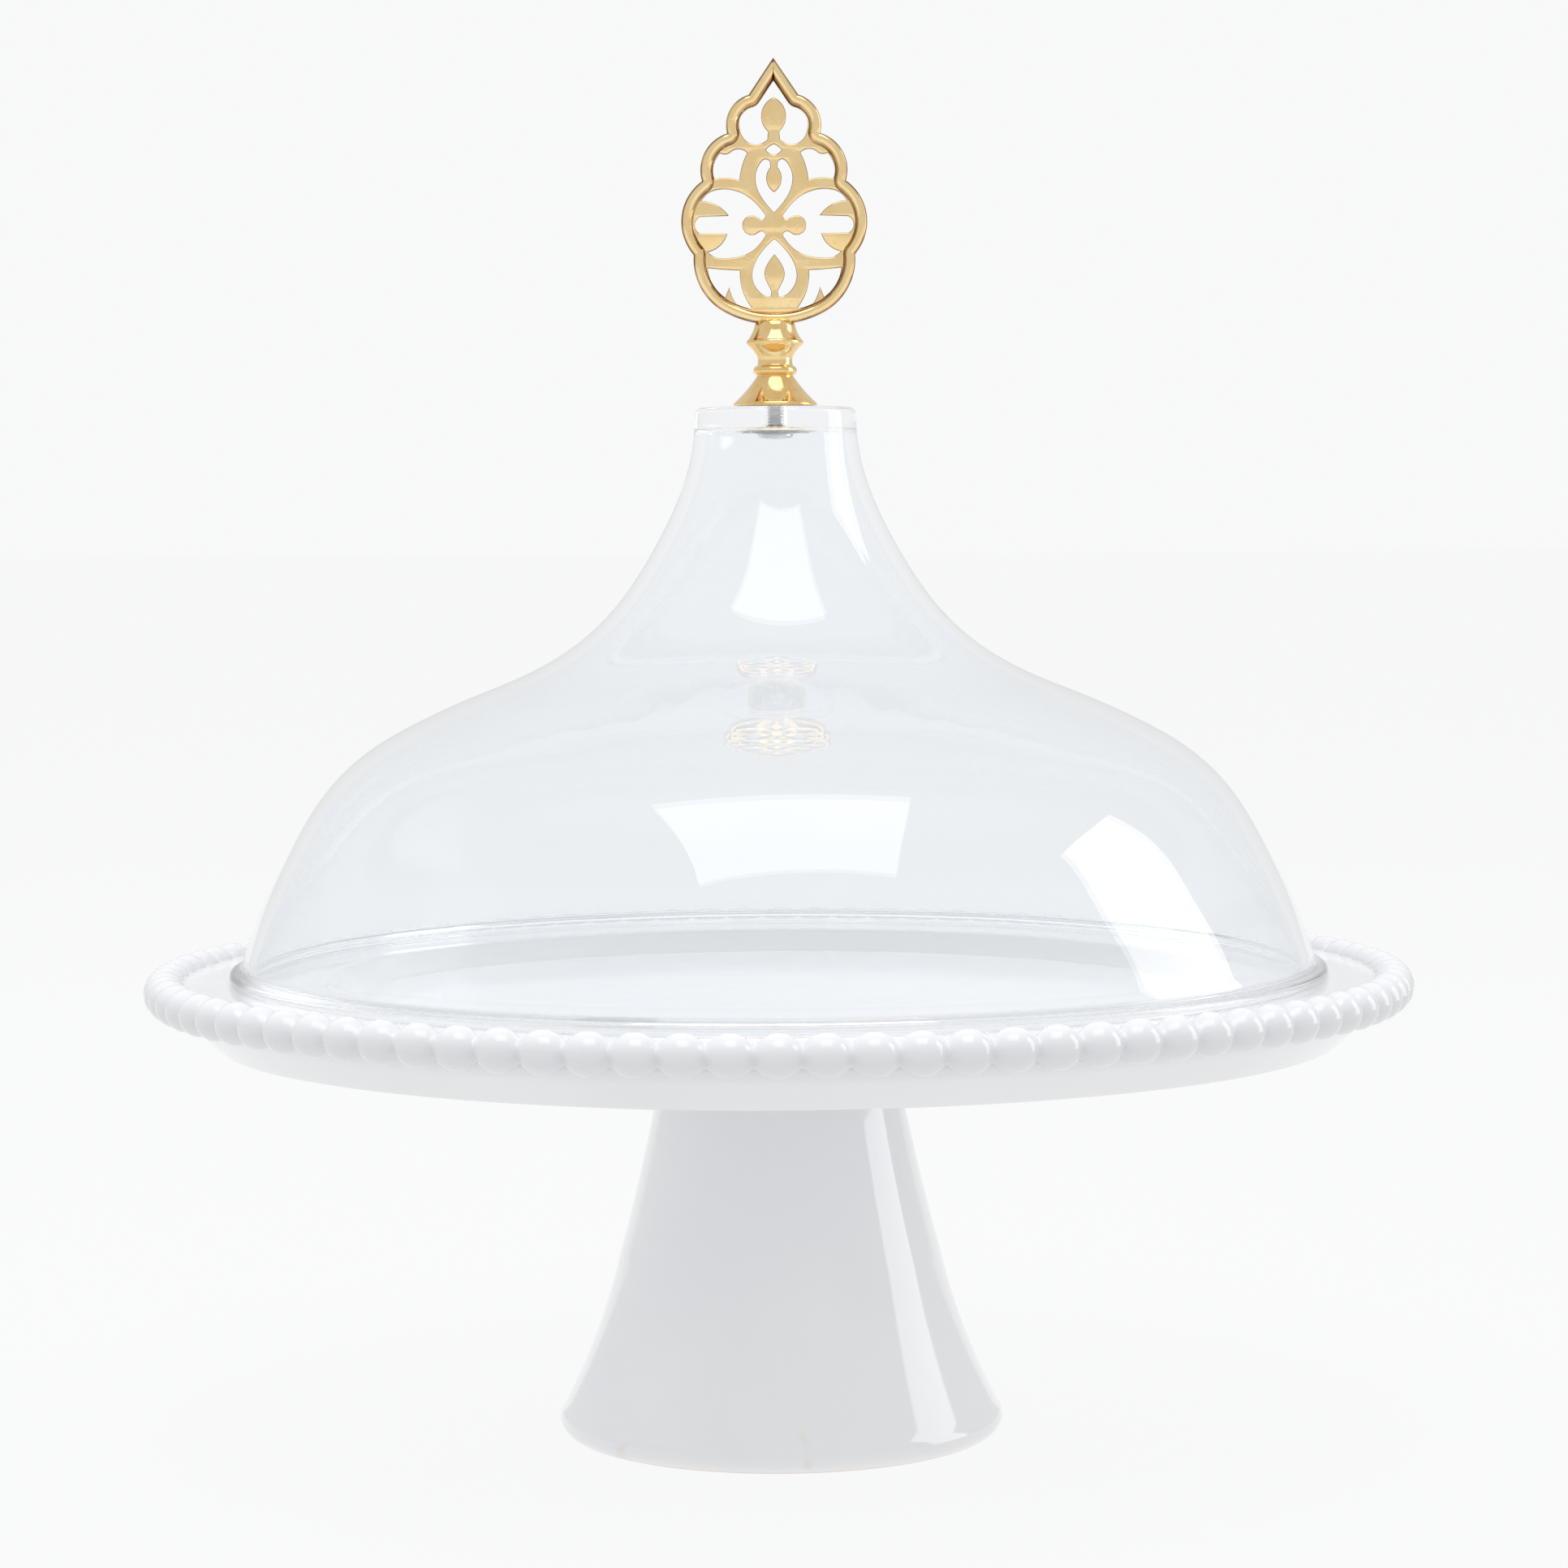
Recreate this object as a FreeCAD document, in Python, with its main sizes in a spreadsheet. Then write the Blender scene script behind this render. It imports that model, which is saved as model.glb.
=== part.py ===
"""A footed porcelain cake stand with a clear glass dome and a gold finial.

The stand is a beaded plate luted to a hollow flared pedestal. The dome is a bell with a thick flat cap,
a straight shoulder and a turned-out foot ring that rests on the plate's seat. A thin-headed screw passes
up through the cap into a turned stem, and an openwork crest is brazed into a slot in that stem.

Frame: millimetres, +Z up, origin on the table under the centre of the pedestal. The crest faces -Y.
"""

import FreeCAD, Part
import math
import os

import Sketcher

# ---------------------------------------------------------------- driving dimensions

SIZES = {
    # stand
    "plate_radius": 150.0,  # over the beads
    "seat_height": 110.0,  # table to the flat seat that the dome rests on
    "bead_radius": 4.9,
    "bead_pitch": 9.91,  # from one bead to the next along their ring
    "bead_drop": 2.0,  # seat down to the beads' centres
    "rim_overlap": 4.0,  # how far the plate's own edge reaches into the ring of beads
    "seat_margin": 10.2,  # from the beads in to the dome's foot ring
    "seat_inside": 16.5,  # from the dome's wall in to the well
    "well_depth": 5.0,
    "well_slope": 8.0,  # width of the well's sloping wall
    "plate_wall": 6.0,
    "skirt_depth": 15.0,  # seat down to the skirt's lower edge
    "skirt_inset": 18.5,  # from the beads' outside in to the skirt's lower edge
    "skirt_wall": 4.5,
    "skirt_round": 1.5,
    # pedestal
    "foot_radius": 53.0,
    "foot_round": 3.6,
    "flare_radius": 38.3,  # outside radius where the foot starts to flare
    "flare_height": 43.0,
    "neck_radius": 26.8,
    "cove": 4.0,  # glazed cove between the pedestal and the plate
    "pedestal_wall": 5.5,
    # dome
    "dome_height": 134.0,
    "dome_wall": 3.0,
    "cap_radius": 19.0,
    "cap_thickness": 5.0,
    "cap_round": 1.6,
    "ring_thickness": 2.6,
    "ring_flat": 0.1,  # between the ring's cove and its rounded edge
    "ring_cove": 1.6,
    # screw and washers
    "screw_radius": 2.0,
    "screw_grip": 7.0,  # screw thread held in the stem
    "screw_gap": 0.25,  # radial room round the screw in cap, gaskets and washer
    "head_radius": 4.2,
    "head_height": 1.5,
    "recess_width": 0.9,
    "recess_span": 4.4,
    "recess_depth": 0.9,
    "washer_radius": 4.9,
    "washer_thickness": 0.6,
    "inner_gasket_radius": 8.1,
    "inner_gasket_thickness": 0.5,
    "outer_gasket_radius": 9.2,
    "outer_gasket_thickness": 0.4,
    # finial stem
    "base_radius": 9.9,
    "base_lip": 0.6,
    "cone_height": 6.4,
    "waist_radius": 4.3,
    "ring_bead_radius": 5.2,
    "ring_bead_height": 2.8,
    "throat_radius": 4.2,
    "throat_height": 1.7,
    "knob_radius": 6.7,
    "knob_edge_height": 0.8,
    "knob_lower": 3.5,  # throat up to the knob's edge
    "knob_upper": 5.6,  # knob's edge up to the collar
    "collar_radius": 4.7,
    "bore_gap": 0.02,  # radial room between screw and tapped bore
    # finial crest
    "crest_width": 43.8,
    "crest_height": 62.4,
    "crest_sink": 1.4,  # how deep the crest sits in the stem's slot
    "frame_band": 2.6,
    "frame_thickness": 4.4,
    "frame_bevel": 0.7,
    "lattice_thickness": 2.4,
    "slot_gap": 0.05,
}

doc = FreeCAD.newDocument("cake_stand_dome")
sheet = doc.addObject("Spreadsheet::Sheet", "Sizes")
for row, (name, value) in enumerate(SIZES.items(), start=1):
    sheet.set(f"A{row}", name)
    sheet.set(f"B{row}", str(value))
    sheet.setAlias(f"B{row}", name)
doc.recompute()


class Size:
    """A length worked out from the sheet: its value now, and the expression that ties a feature to it."""

    def __init__(self, value, text):
        self.value = value
        self.text = text

    def join(self, other, sign, swap=False):
        if not isinstance(other, Size):
            other = Size(float(other), repr(float(other)))
        a, b = (other, self) if swap else (self, other)
        values = {"+": a.value + b.value, "-": a.value - b.value, "*": a.value * b.value}
        value = a.value / b.value if sign == "/" else values[sign]
        return Size(value, f"({a.text} {sign} {b.text})")

    def __add__(self, other):
        return self.join(other, "+")

    def __sub__(self, other):
        return self.join(other, "-")

    def __rsub__(self, other):
        return self.join(other, "-", swap=True)

    def __mul__(self, other):
        return self.join(other, "*")

    def __truediv__(self, other):
        return self.join(other, "/")

    __radd__ = __add__
    __rmul__ = __mul__


class Sizes:
    """Reads a driving dimension by its name: s.plate_radius."""

    def __getattr__(self, name):
        return Size(float(sheet.get(name)), f"Sizes.{name}")


s = Sizes()
ZERO = Size(0.0, "0.0")

# ---------------------------------------------------------------- radii and heights that pieces share

bead_ring = s.plate_radius - s.bead_radius
ring_radius = bead_ring - s.bead_radius - s.seat_margin
dome_radius = ring_radius - s.ring_thickness / 2 - s.ring_flat - s.ring_cove
well_radius = dome_radius - s.dome_wall - s.seat_inside - s.well_slope
skirt_radius = s.plate_radius - s.skirt_inset
bead_level = s.seat_height - s.bead_drop
well_floor = s.seat_height - s.well_depth
well_underside = well_floor - s.plate_wall
rim_underside = s.seat_height - s.plate_wall
skirt_bottom = s.seat_height - s.skirt_depth
cap_top = s.seat_height + s.dome_height
cap_ceiling = cap_top - s.cap_thickness
washer_top = cap_ceiling - s.inner_gasket_thickness
head_top = washer_top - s.washer_thickness
stem_base = cap_top + s.outer_gasket_thickness
cone_top = stem_base + s.base_lip + s.cone_height
ring_bead_top = cone_top + s.ring_bead_height
throat_top = ring_bead_top + s.throat_height
knob_edge = throat_top + s.knob_lower
collar_top = knob_edge + s.knob_upper
crest_bottom = collar_top - s.crest_sink
screw_hole = s.screw_radius + s.screw_gap

# ---------------------------------------------------------------- drawing helpers


def origin_plane(body, role):
    return next(f for f in body.Origin.OriginFeatures if f.Role == role)


def new_body(label):
    body = doc.addObject("PartDesign::Body", label)
    body.Label = label
    return body


def new_sketch(body, name, role="XZ_Plane"):
    sketch = body.newObject("Sketcher::SketchObject", name)
    sketch.AttachmentSupport = [(origin_plane(body, role), "")]
    sketch.MapMode = "FlatFace"
    return sketch


def arc_middle(start, end, bulge):
    """The point half way along an arc. Bulge is its height over half its chord, positive to the right."""
    (x0, z0), (x1, z1) = start, end
    return ((x0 + x1 + bulge * (z1 - z0)) / 2, (z0 + z1 - bulge * (x1 - x0)) / 2)


def vector(point):
    return FreeCAD.Vector(point[0], point[1], 0)


def draw_outline(sketch, outline):
    """Draws a closed outline of (across, up, bulge) corners tied to the sheet; bulge 0 is straight."""
    corners = [(across.value, up.value) for across, up, _ in outline]
    count = len(outline)
    arcs = []
    for i, (start, (_, _, bulge)) in enumerate(zip(corners, outline)):
        end = corners[(i + 1) % count]
        if bulge:
            middle = arc_middle(start, end, bulge)
            sketch.addGeometry(Part.Arc(vector(start), vector(middle), vector(end)), False)
            arcs.append(i)
        else:
            sketch.addGeometry(Part.LineSegment(vector(start), vector(end)), False)
    # An arc always runs anticlockwise, so one that was drawn clockwise has its first end second.
    begin = [2 if outline[i][2] < 0 else 1 for i in range(count)]
    finish = [3 - b for b in begin]
    for i in range(count):
        j = (i + 1) % count
        sketch.addConstraint(Sketcher.Constraint("Coincident", i, finish[i], j, begin[j]))
    for i, (across, up, _) in enumerate(outline):
        for kind, length, axis in (("DistanceX", across, -2), ("DistanceY", up, -1)):
            if length.value == 0:
                sketch.addConstraint(Sketcher.Constraint("PointOnObject", i, begin[i], axis))
                continue
            place = sketch.addConstraint(Sketcher.Constraint(kind, -1, 1, i, begin[i], length.value))
            sketch.setExpression(f"Constraints[{place}]", length.text)
    for i in arcs:
        bulge = abs(outline[i][2])
        share = (1 + bulge**2) / (4 * bulge)
        run = outline[(i + 1) % count][0] - outline[i][0]
        rise = outline[(i + 1) % count][1] - outline[i][1]
        chord = math.hypot(run.value, rise.value)
        place = sketch.addConstraint(Sketcher.Constraint("Radius", i, share * chord))
        sketch.setExpression(f"Constraints[{place}]", f"{share!r} * sqrt({run.text}^2 + {rise.text}^2)")


def turned_body(label, outline):
    """A body of revolution about Z, from an outline of (radius, height, bulge) corners."""
    body = new_body(label)
    sketch = new_sketch(body, label + "_outline")
    draw_outline(sketch, outline)
    turning = body.newObject("PartDesign::Revolution", label + "_turning")
    turning.Profile = sketch
    turning.ReferenceAxis = (sketch, ["V_Axis"])
    turning.Angle = 360.0
    sketch.Visibility = False
    return body


def flat_ring(label, inner, outer, low, high):
    """A washer or gasket: a disc with a round hole."""
    return turned_body(label, [(inner, low, 0), (outer, low, 0), (outer, high, 0), (inner, high, 0)])


# ---------------------------------------------------------------- plate


def make_plate():
    """The plate: a shallow well, a flat seat, a skirt turned down below, and beads round the rim."""
    edge = bead_ring - s.bead_radius + s.rim_overlap
    slope_middle = well_radius + s.well_slope / 2
    recess = skirt_radius - s.skirt_wall
    step = well_radius + s.plate_wall / 2
    body = turned_body(
        "plate",
        [
            (ZERO, well_underside, 0),
            (step, well_underside, 0),
            (step + s.well_slope, rim_underside, 0),
            (recess - s.skirt_round, rim_underside, -0.41),
            (recess, rim_underside - s.skirt_round, 0),
            (skirt_radius - s.skirt_round * 1.5, skirt_bottom + s.skirt_round / 2, 0.35),
            (skirt_radius + s.skirt_round, skirt_bottom + s.skirt_round / 2, 0),
            (edge - s.skirt_round, bead_level - s.bead_radius * 0.6, 0.25),
            (edge, bead_level, 0.41),
            (edge - s.bead_drop, s.seat_height, 0),
            (well_radius + s.well_slope, s.seat_height, 0.15),
            (slope_middle, well_floor + s.well_depth / 2, -0.15),
            (well_radius, well_floor, 0),
            (ZERO, well_floor, 0),
        ],
    )
    bead = body.newObject("PartDesign::AdditiveSphere", "plate_bead")
    bead.AttachmentSupport = [(origin_plane(body, "XY_Plane"), "")]
    bead.MapMode = "FlatFace"
    bead.setExpression("Radius", s.bead_radius.text)
    bead.setExpression(".AttachmentOffset.Base.x", bead_ring.text)
    bead.setExpression(".AttachmentOffset.Base.z", bead_level.text)
    doc.recompute()
    border = body.newObject("PartDesign::PolarPattern", "plate_bead_border")
    border.Originals = [bead]
    border.Axis = (origin_plane(body, "Z_Axis"), [""])
    border.Angle = 360.0
    border.setExpression("Occurrences", f"round(2 * pi * {bead_ring.text} / {s.bead_pitch.text})")
    body.Tip = border
    return body


# ---------------------------------------------------------------- pedestal


def make_pedestal():
    """The pedestal: a hollow flared foot, open below, with a cove where it is luted to the plate."""
    wall = s.pedestal_wall
    inside_foot = s.foot_radius - wall - s.foot_round
    return turned_body(
        "pedestal",
        [
            (inside_foot, ZERO, 0),
            (s.foot_radius - s.foot_round, ZERO, 0.36),
            (s.foot_radius, s.foot_round, 0.2),
            (s.foot_radius - s.foot_round / 4, s.foot_round * 1.7, -0.066),
            (s.flare_radius, s.flare_height, -0.024),
            (s.neck_radius, well_underside - s.cove, -0.36),
            (s.neck_radius + s.cove, well_underside, 0),
            (s.neck_radius - wall, well_underside, 0.024),
            (s.flare_radius - wall, s.flare_height, 0.066),
        ],
    )


# ---------------------------------------------------------------- dome

# The bell's outside, as (share of the way out from cap to foot, share of the way up from foot to cap).
BELL = [
    (0.0, 1.0),
    (0.0045, 0.95),
    (0.036, 0.85),
    (0.091, 0.755),
    (0.16, 0.665),
    (0.243, 0.592),
    (0.378, 0.522),
    (0.505, 0.478),
    (0.61, 0.438),
    (0.708, 0.392),
    (0.78, 0.343),
    (0.836, 0.287),
    (0.906, 0.186),
    (0.961, 0.088),
    (1.0, 0.0),
]


def spline(points):
    curve = Part.BSplineCurve()
    curve.interpolate([FreeCAD.Vector(r, 0, z) for r, z in points])
    return curve


def inward(points, distance):
    """The points moved square to their curve, towards the axis side."""
    moved = []
    for i, (r, z) in enumerate(points):
        r0, z0 = points[max(i - 1, 0)]
        r1, z1 = points[min(i + 1, len(points) - 1)]
        length = math.hypot(r1 - r0, z1 - z0)
        moved.append((r + distance * (z1 - z0) / length, z - distance * (r1 - r0) / length))
    return moved


def flat_vector(r, z):
    return FreeCAD.Vector(r, 0, z)


def rounded(p, corner, q):
    """A quarter-round edge from p to q, inside their corner."""
    middle = [c + (a + b - 2 * c) * (1 - math.sqrt(0.5)) for a, b, c in zip(p, q, corner)]
    return Part.Arc(flat_vector(*p), flat_vector(*middle), flat_vector(*q)).toShape()


def edge(p, q):
    return Part.LineSegment(flat_vector(*p), flat_vector(*q)).toShape()


def make_dome():
    """The dome: a free-form bell of even wall, a thick cap with a screw hole, and a ring round its foot."""
    foot = s.seat_height.value
    top = cap_top.value
    hole = screw_hole.value
    cap, cap_round = s.cap_radius.value, s.cap_round.value
    ring, cove = ring_radius.value, s.ring_cove.value
    ring_top = foot + s.ring_thickness.value
    ring_round = s.ring_thickness.value / 2
    bell_low = ring_top + cove
    bell_high = top - cap_round
    outer = [
        (cap + u * (dome_radius.value - cap), bell_low + v * (bell_high - bell_low)) for u, v in BELL
    ]
    inner = inward(outer, s.dome_wall.value)
    ceiling = cap_ceiling.value
    ceiling_round = cap_round
    below = [p for p in inner if p[1] < ceiling - ceiling_round - 1.0]
    wall_top = (below[0][0] - 0.6, ceiling - ceiling_round)
    inner = [wall_top] + below
    dome_foot = (inner[-1][0], foot)
    profile = [
        edge((hole, ceiling), (hole, top)),
        edge((hole, top), (cap - cap_round, top)),
        rounded((cap - cap_round, top), (cap, top), outer[0]),
        spline(outer).toShape(),
        rounded(outer[-1], (outer[-1][0], ring_top), (outer[-1][0] + cove, ring_top)),
        edge((outer[-1][0] + cove, ring_top), (ring - ring_round, ring_top)),
        Part.Arc(
            flat_vector(ring - ring_round, ring_top),
            flat_vector(ring, foot + ring_round),
            flat_vector(ring - ring_round, foot),
        ).toShape(),
        edge((ring - ring_round, foot), dome_foot),
        edge(dome_foot, inner[-1]),
        spline(inner).toShape(),
        rounded(wall_top, (wall_top[0], ceiling), (wall_top[0] - ceiling_round, ceiling)),
        edge((wall_top[0] - ceiling_round, ceiling), (hole, ceiling)),
    ]
    wire = Part.Wire(Part.__sortEdges__(profile))
    shape = Part.Face(wire).revolve(FreeCAD.Vector(0, 0, 0), FreeCAD.Vector(0, 0, 1), 360)
    dome = doc.addObject("Part::Feature", "dome")
    dome.Label = "dome"
    dome.Shape = Part.Solid(shape.Shells[0]) if shape.ShapeType != "Solid" else shape
    return dome


# ---------------------------------------------------------------- screw and stem


def make_screw():
    """The fixing screw: a thin domed head with a cross recess, and a shank up into the stem."""
    body = turned_body(
        "fixing_screw",
        [
            (ZERO, head_top - s.head_height, 0),
            (s.head_radius * 0.7, head_top - s.head_height, 0.2),
            (s.head_radius, head_top, 0),
            (s.screw_radius, head_top, 0),
            (s.screw_radius, stem_base + s.screw_grip - s.screw_radius / 4, 0),
            (s.screw_radius * 0.75, stem_base + s.screw_grip, 0),
            (ZERO, stem_base + s.screw_grip, 0),
        ],
    )
    recess_top = head_top - s.head_height + s.recess_depth
    for name, across, along in (
        ("recess_x", s.recess_span, s.recess_width),
        ("recess_y", s.recess_width, s.recess_span),
    ):
        arm = body.newObject("PartDesign::SubtractiveBox", name)
        arm.AttachmentSupport = [(origin_plane(body, "XY_Plane"), "")]
        arm.MapMode = "FlatFace"
        arm.setExpression("Length", across.text)
        arm.setExpression("Width", along.text)
        arm.setExpression("Height", (s.recess_depth * 2).text)
        arm.setExpression(".AttachmentOffset.Base.x", (across / -2).text)
        arm.setExpression(".AttachmentOffset.Base.y", (along / -2).text)
        arm.setExpression(".AttachmentOffset.Base.z", (recess_top - s.recess_depth * 2).text)
    return body


def make_stem():
    """The stem: a cone, a ring, a throat and a double-coned knob, tapped below and slotted above."""
    bore = s.screw_radius + s.bore_gap
    bore_top = stem_base + s.screw_grip + s.screw_radius
    body = turned_body(
        "finial_stem",
        [
            (bore, stem_base, 0),
            (s.base_radius, stem_base, 0),
            (s.base_radius, stem_base + s.base_lip, -0.06),
            (s.waist_radius, cone_top, 0.41),
            (s.ring_bead_radius, cone_top + s.ring_bead_height / 2, 0.41),
            (s.throat_radius, ring_bead_top, 0),
            (s.throat_radius, throat_top, -0.1),
            (s.knob_radius, knob_edge - s.knob_edge_height / 2, 0.5),
            (s.knob_radius, knob_edge + s.knob_edge_height / 2, -0.08),
            (s.collar_radius, collar_top - s.crest_sink, 0.3),
            (s.collar_radius * 0.6, collar_top, 0),
            (ZERO, collar_top, 0),
            (ZERO, bore_top + s.screw_radius / 2, 0),
            (bore, bore_top, 0),
        ],
    )
    slot = body.newObject("PartDesign::SubtractiveBox", "crest_slot")
    slot.AttachmentSupport = [(origin_plane(body, "XY_Plane"), "")]
    slot.MapMode = "FlatFace"
    width = s.collar_radius * 4
    thickness = s.frame_thickness + s.slot_gap * 2
    slot.setExpression("Length", width.text)
    slot.setExpression("Width", thickness.text)
    slot.setExpression("Height", (s.crest_sink * 2).text)
    slot.setExpression(".AttachmentOffset.Base.x", (width / -2).text)
    slot.setExpression(".AttachmentOffset.Base.y", (thickness / -2).text)
    slot.setExpression(".AttachmentOffset.Base.z", crest_bottom.text)
    return body


# ---------------------------------------------------------------- crest

# The crest's right half, drawn 44.2 wide and 63.3 high and scaled to the sheet's size. Each outline is a
# list of runs: two points are a straight edge, three an arc, more a smooth curve. Across is from the middle.
DRAWN_WIDTH = 44.2
DRAWN_HEIGHT = 63.3
RIM = [
    [(0, 0), (6.2, 0.7), (11.8, 2.9)],
    [(11.8, 2.9), (17.4, 8.4), (19.2, 16.6)],
    [(19.2, 16.6), (22.1, 24.9), (17.1, 34.1)],
    [(17.1, 34.1), (16.4, 41.0), (11.05, 45.4)],
    [(11.05, 45.4), (10.35, 51.0), (5.9, 54.5)],
    [(5.9, 54.5), (0, 63.3)],
]
# Windows that cross the middle line: the right side, from its lowest point on that line to its highest.
TOP_LEAF = [[(0, 53.9), (2.9, 48.8), (1.35, 45.9)], [(1.35, 45.9), (1.5, 43.9)]]
TOP_WINDOW = TOP_LEAF + [
    [(1.5, 43.9), (3.7, 42.75), (6.4, 43.5), (8.15, 47.2), (7.0, 51.2), (4.5, 52.6)],
    [(4.5, 52.6), (0, 59.4)],
]
DIAMOND = [[(0, 40.2), (1.1, 40.7), (1.9, 41.5)], [(1.9, 41.5), (1.1, 42.3), (0, 42.9)]]
UPPER_DROP = [
    [(0, 31.5), (1.8, 35.2), (0.8, 37.4)],
    [(0.8, 37.4), (1.0, 38.9)],
    [(1.0, 38.9), (1.9, 39.3), (3.6, 37.8), (4.4, 34.6), (3.4, 31.0), (0, 26.6)],
]
LOWER_DROP = [
    [(0, 20.4), (3.0, 17.3), (4.9, 13.9), (5.1, 10.3), (3.8, 8.0), (1.6, 6.6), (1.0, 6.6)],
    [(1.0, 6.6), (0.75, 7.8)],
    [(0.75, 7.8), (1.4, 9.2), (2.4, 11.8), (1.6, 14.5), (0, 16.7)],
]
# Windows beside the middle line, each a closed outline.
SHOULDER_WINDOW = [
    [(6.3, 40.8), (7.4, 38.3), (8.2, 34.3)],
    [(8.2, 34.3), (11.4, 34.9), (14.5, 34.5)],
    [(14.5, 34.5), (14.4, 37.6), (12.8, 40.8)],
    [(12.8, 40.8), (11.4, 40.5), (10.3, 41.0)],
    [(10.3, 41.0), (8.1, 41.7), (6.3, 40.8)],
]
WING_WINDOW = [
    [(2.1, 26.1), (4.3, 28.8), (8.0, 31.4), (12.3, 32.2), (15.8, 31.2), (17.4, 29.4)],
    [(17.4, 29.4), (13.6, 28.4), (10.8, 25.9)],
    [(10.8, 25.9), (17.6, 25.7)],
    [(17.6, 25.7), (18.9, 23.7), (17.6, 21.7)],
    [(17.6, 21.7), (11.2, 21.6)],
    [(11.2, 21.6), (12.6, 19.1), (15.9, 17.3)],
    [(15.9, 17.3), (14.2, 16.1), (10.9, 15.8), (7.2, 16.5), (4.4, 18.2), (2.1, 21.0)],
    [(2.1, 21.0), (2.6, 22.1), (3.6, 22.0)],
    [(3.6, 22.0), (7.65, 23.6), (3.6, 25.2)],
    [(3.6, 25.2), (2.6, 25.0), (2.1, 26.1)],
]
FOOT_WINDOW = [
    [(8.2, 12.9), (12.0, 13.1), (15.9, 13.5)],
    [(15.9, 13.5), (14.6, 9.3), (11.9, 6.0)],
    [(11.9, 6.0), (11.4, 7.4), (10.8, 8.9)],
    [(10.8, 8.9), (10.2, 6.9), (9.2, 4.9)],
    [(9.2, 4.9), (7.5, 4.1), (5.4, 3.9)],
    [(5.4, 3.9), (7.5, 7.6), (8.2, 12.9)],
]


def mirrored(runs):
    """The runs on the other side of the middle line, in the order that closes the outline."""
    return [[(-across, up) for across, up in reversed(run)] for run in reversed(runs)]


def crest_edges(runs):
    """Edges in the plane Y = 0, at the sheet's crest size."""
    wide = s.crest_width.value / DRAWN_WIDTH
    high = s.crest_height.value / DRAWN_HEIGHT
    bottom = crest_bottom.value
    edges = []
    for run in runs:
        points = [flat_vector(across * wide, bottom + up * high) for across, up in run]
        if len(points) == 2:
            edges.append(Part.LineSegment(*points).toShape())
        elif len(points) == 3:
            edges.append(Part.Arc(*points).toShape())
        else:
            curve = Part.BSplineCurve()
            curve.interpolate(points)
            edges.append(curve.toShape())
    return edges


def crest_face(runs):
    return Part.Face(Part.Wire(crest_edges(runs)))


def slab(face, thickness):
    """The face made into a slab, half of it each side of Y = 0."""
    lowered = face.copy()
    lowered.translate(FreeCAD.Vector(0, -thickness / 2, 0))
    return lowered.extrude(FreeCAD.Vector(0, thickness, 0))


def make_crest():
    """The crest: a flat openwork casting inside a thicker scalloped frame, bevelled on its outer edges."""
    whole = crest_face(RIM + mirrored(RIM))
    inside = whole.makeOffset2D(-s.frame_band.value, 0)
    frame = slab(whole, s.frame_thickness.value)
    faces_edge = s.frame_thickness.value / 2
    rim_edges = [e for e in frame.Edges if abs(abs(e.CenterOfMass.y) - faces_edge) < 1e-6]
    frame = frame.makeChamfer(s.frame_bevel.value, rim_edges).cut(slab(inside, s.frame_thickness.value * 2))
    windows = [TOP_WINDOW, DIAMOND, UPPER_DROP, LOWER_DROP]
    openings = [crest_face(runs + mirrored(runs)) for runs in windows]
    for runs in (SHOULDER_WINDOW, WING_WINDOW, FOOT_WINDOW):
        openings += [crest_face(runs), crest_face(mirrored(runs))]
    lattice = slab(whole, s.lattice_thickness.value)
    lattice = lattice.cut([slab(face, s.lattice_thickness.value * 2) for face in openings])
    crest = doc.addObject("Part::Feature", "finial_crest")
    crest.Label = "finial_crest"
    crest.Shape = frame.fuse(lattice).removeSplitter()
    return crest


# ---------------------------------------------------------------- build, check and export


def check(pieces):
    """Stops if a feature failed, or if a piece has no valid closed solid."""
    failed = [o.Name for o in doc.Objects if {"Invalid", "Error"} & set(o.State)]
    if failed:
        raise RuntimeError(f"failed features: {failed}")
    for piece in pieces:
        shape = piece.Shape
        if shape.isNull() or not shape.isValid() or not shape.Solids:
            raise RuntimeError(f"{piece.Label} has no valid solid")


def main():
    pieces = [
        make_plate(),
        make_pedestal(),
        make_dome(),
        flat_ring("outer_gasket", screw_hole, s.outer_gasket_radius, cap_top, stem_base),
        flat_ring("inner_gasket", screw_hole, s.inner_gasket_radius, washer_top, cap_ceiling),
        flat_ring("screw_washer", screw_hole, s.washer_radius, head_top, washer_top),
        make_screw(),
        make_stem(),
        make_crest(),
    ]
    doc.recompute()
    check(pieces)
    os.makedirs("parts", exist_ok=True)
    for piece in pieces:
        shape = piece.Shape
        shape.exportStep(os.path.join("parts", piece.Label + ".step"))
        box = shape.BoundBox
        print(
            f"{piece.Label}: {len(shape.Solids)} solid, {shape.Volume / 1000:.1f} cm3, "
            f"z {box.ZMin:.2f} to {box.ZMax:.2f}, width {box.XLength:.2f}"
        )


main()
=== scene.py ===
# %% [markdown]
# # A cake stand with a glass dome
#
# This notebook builds the looks of a footed porcelain cake stand, the glass dome that covers it, and the gold
# finial that lifts the dome. The pieces were designed beforehand, in CAD, and stand in the file as a frame that
# never changes. Each step below makes one real piece as a smooth surface that lies where the frame has it.

# %% Load the frame
import math

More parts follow.
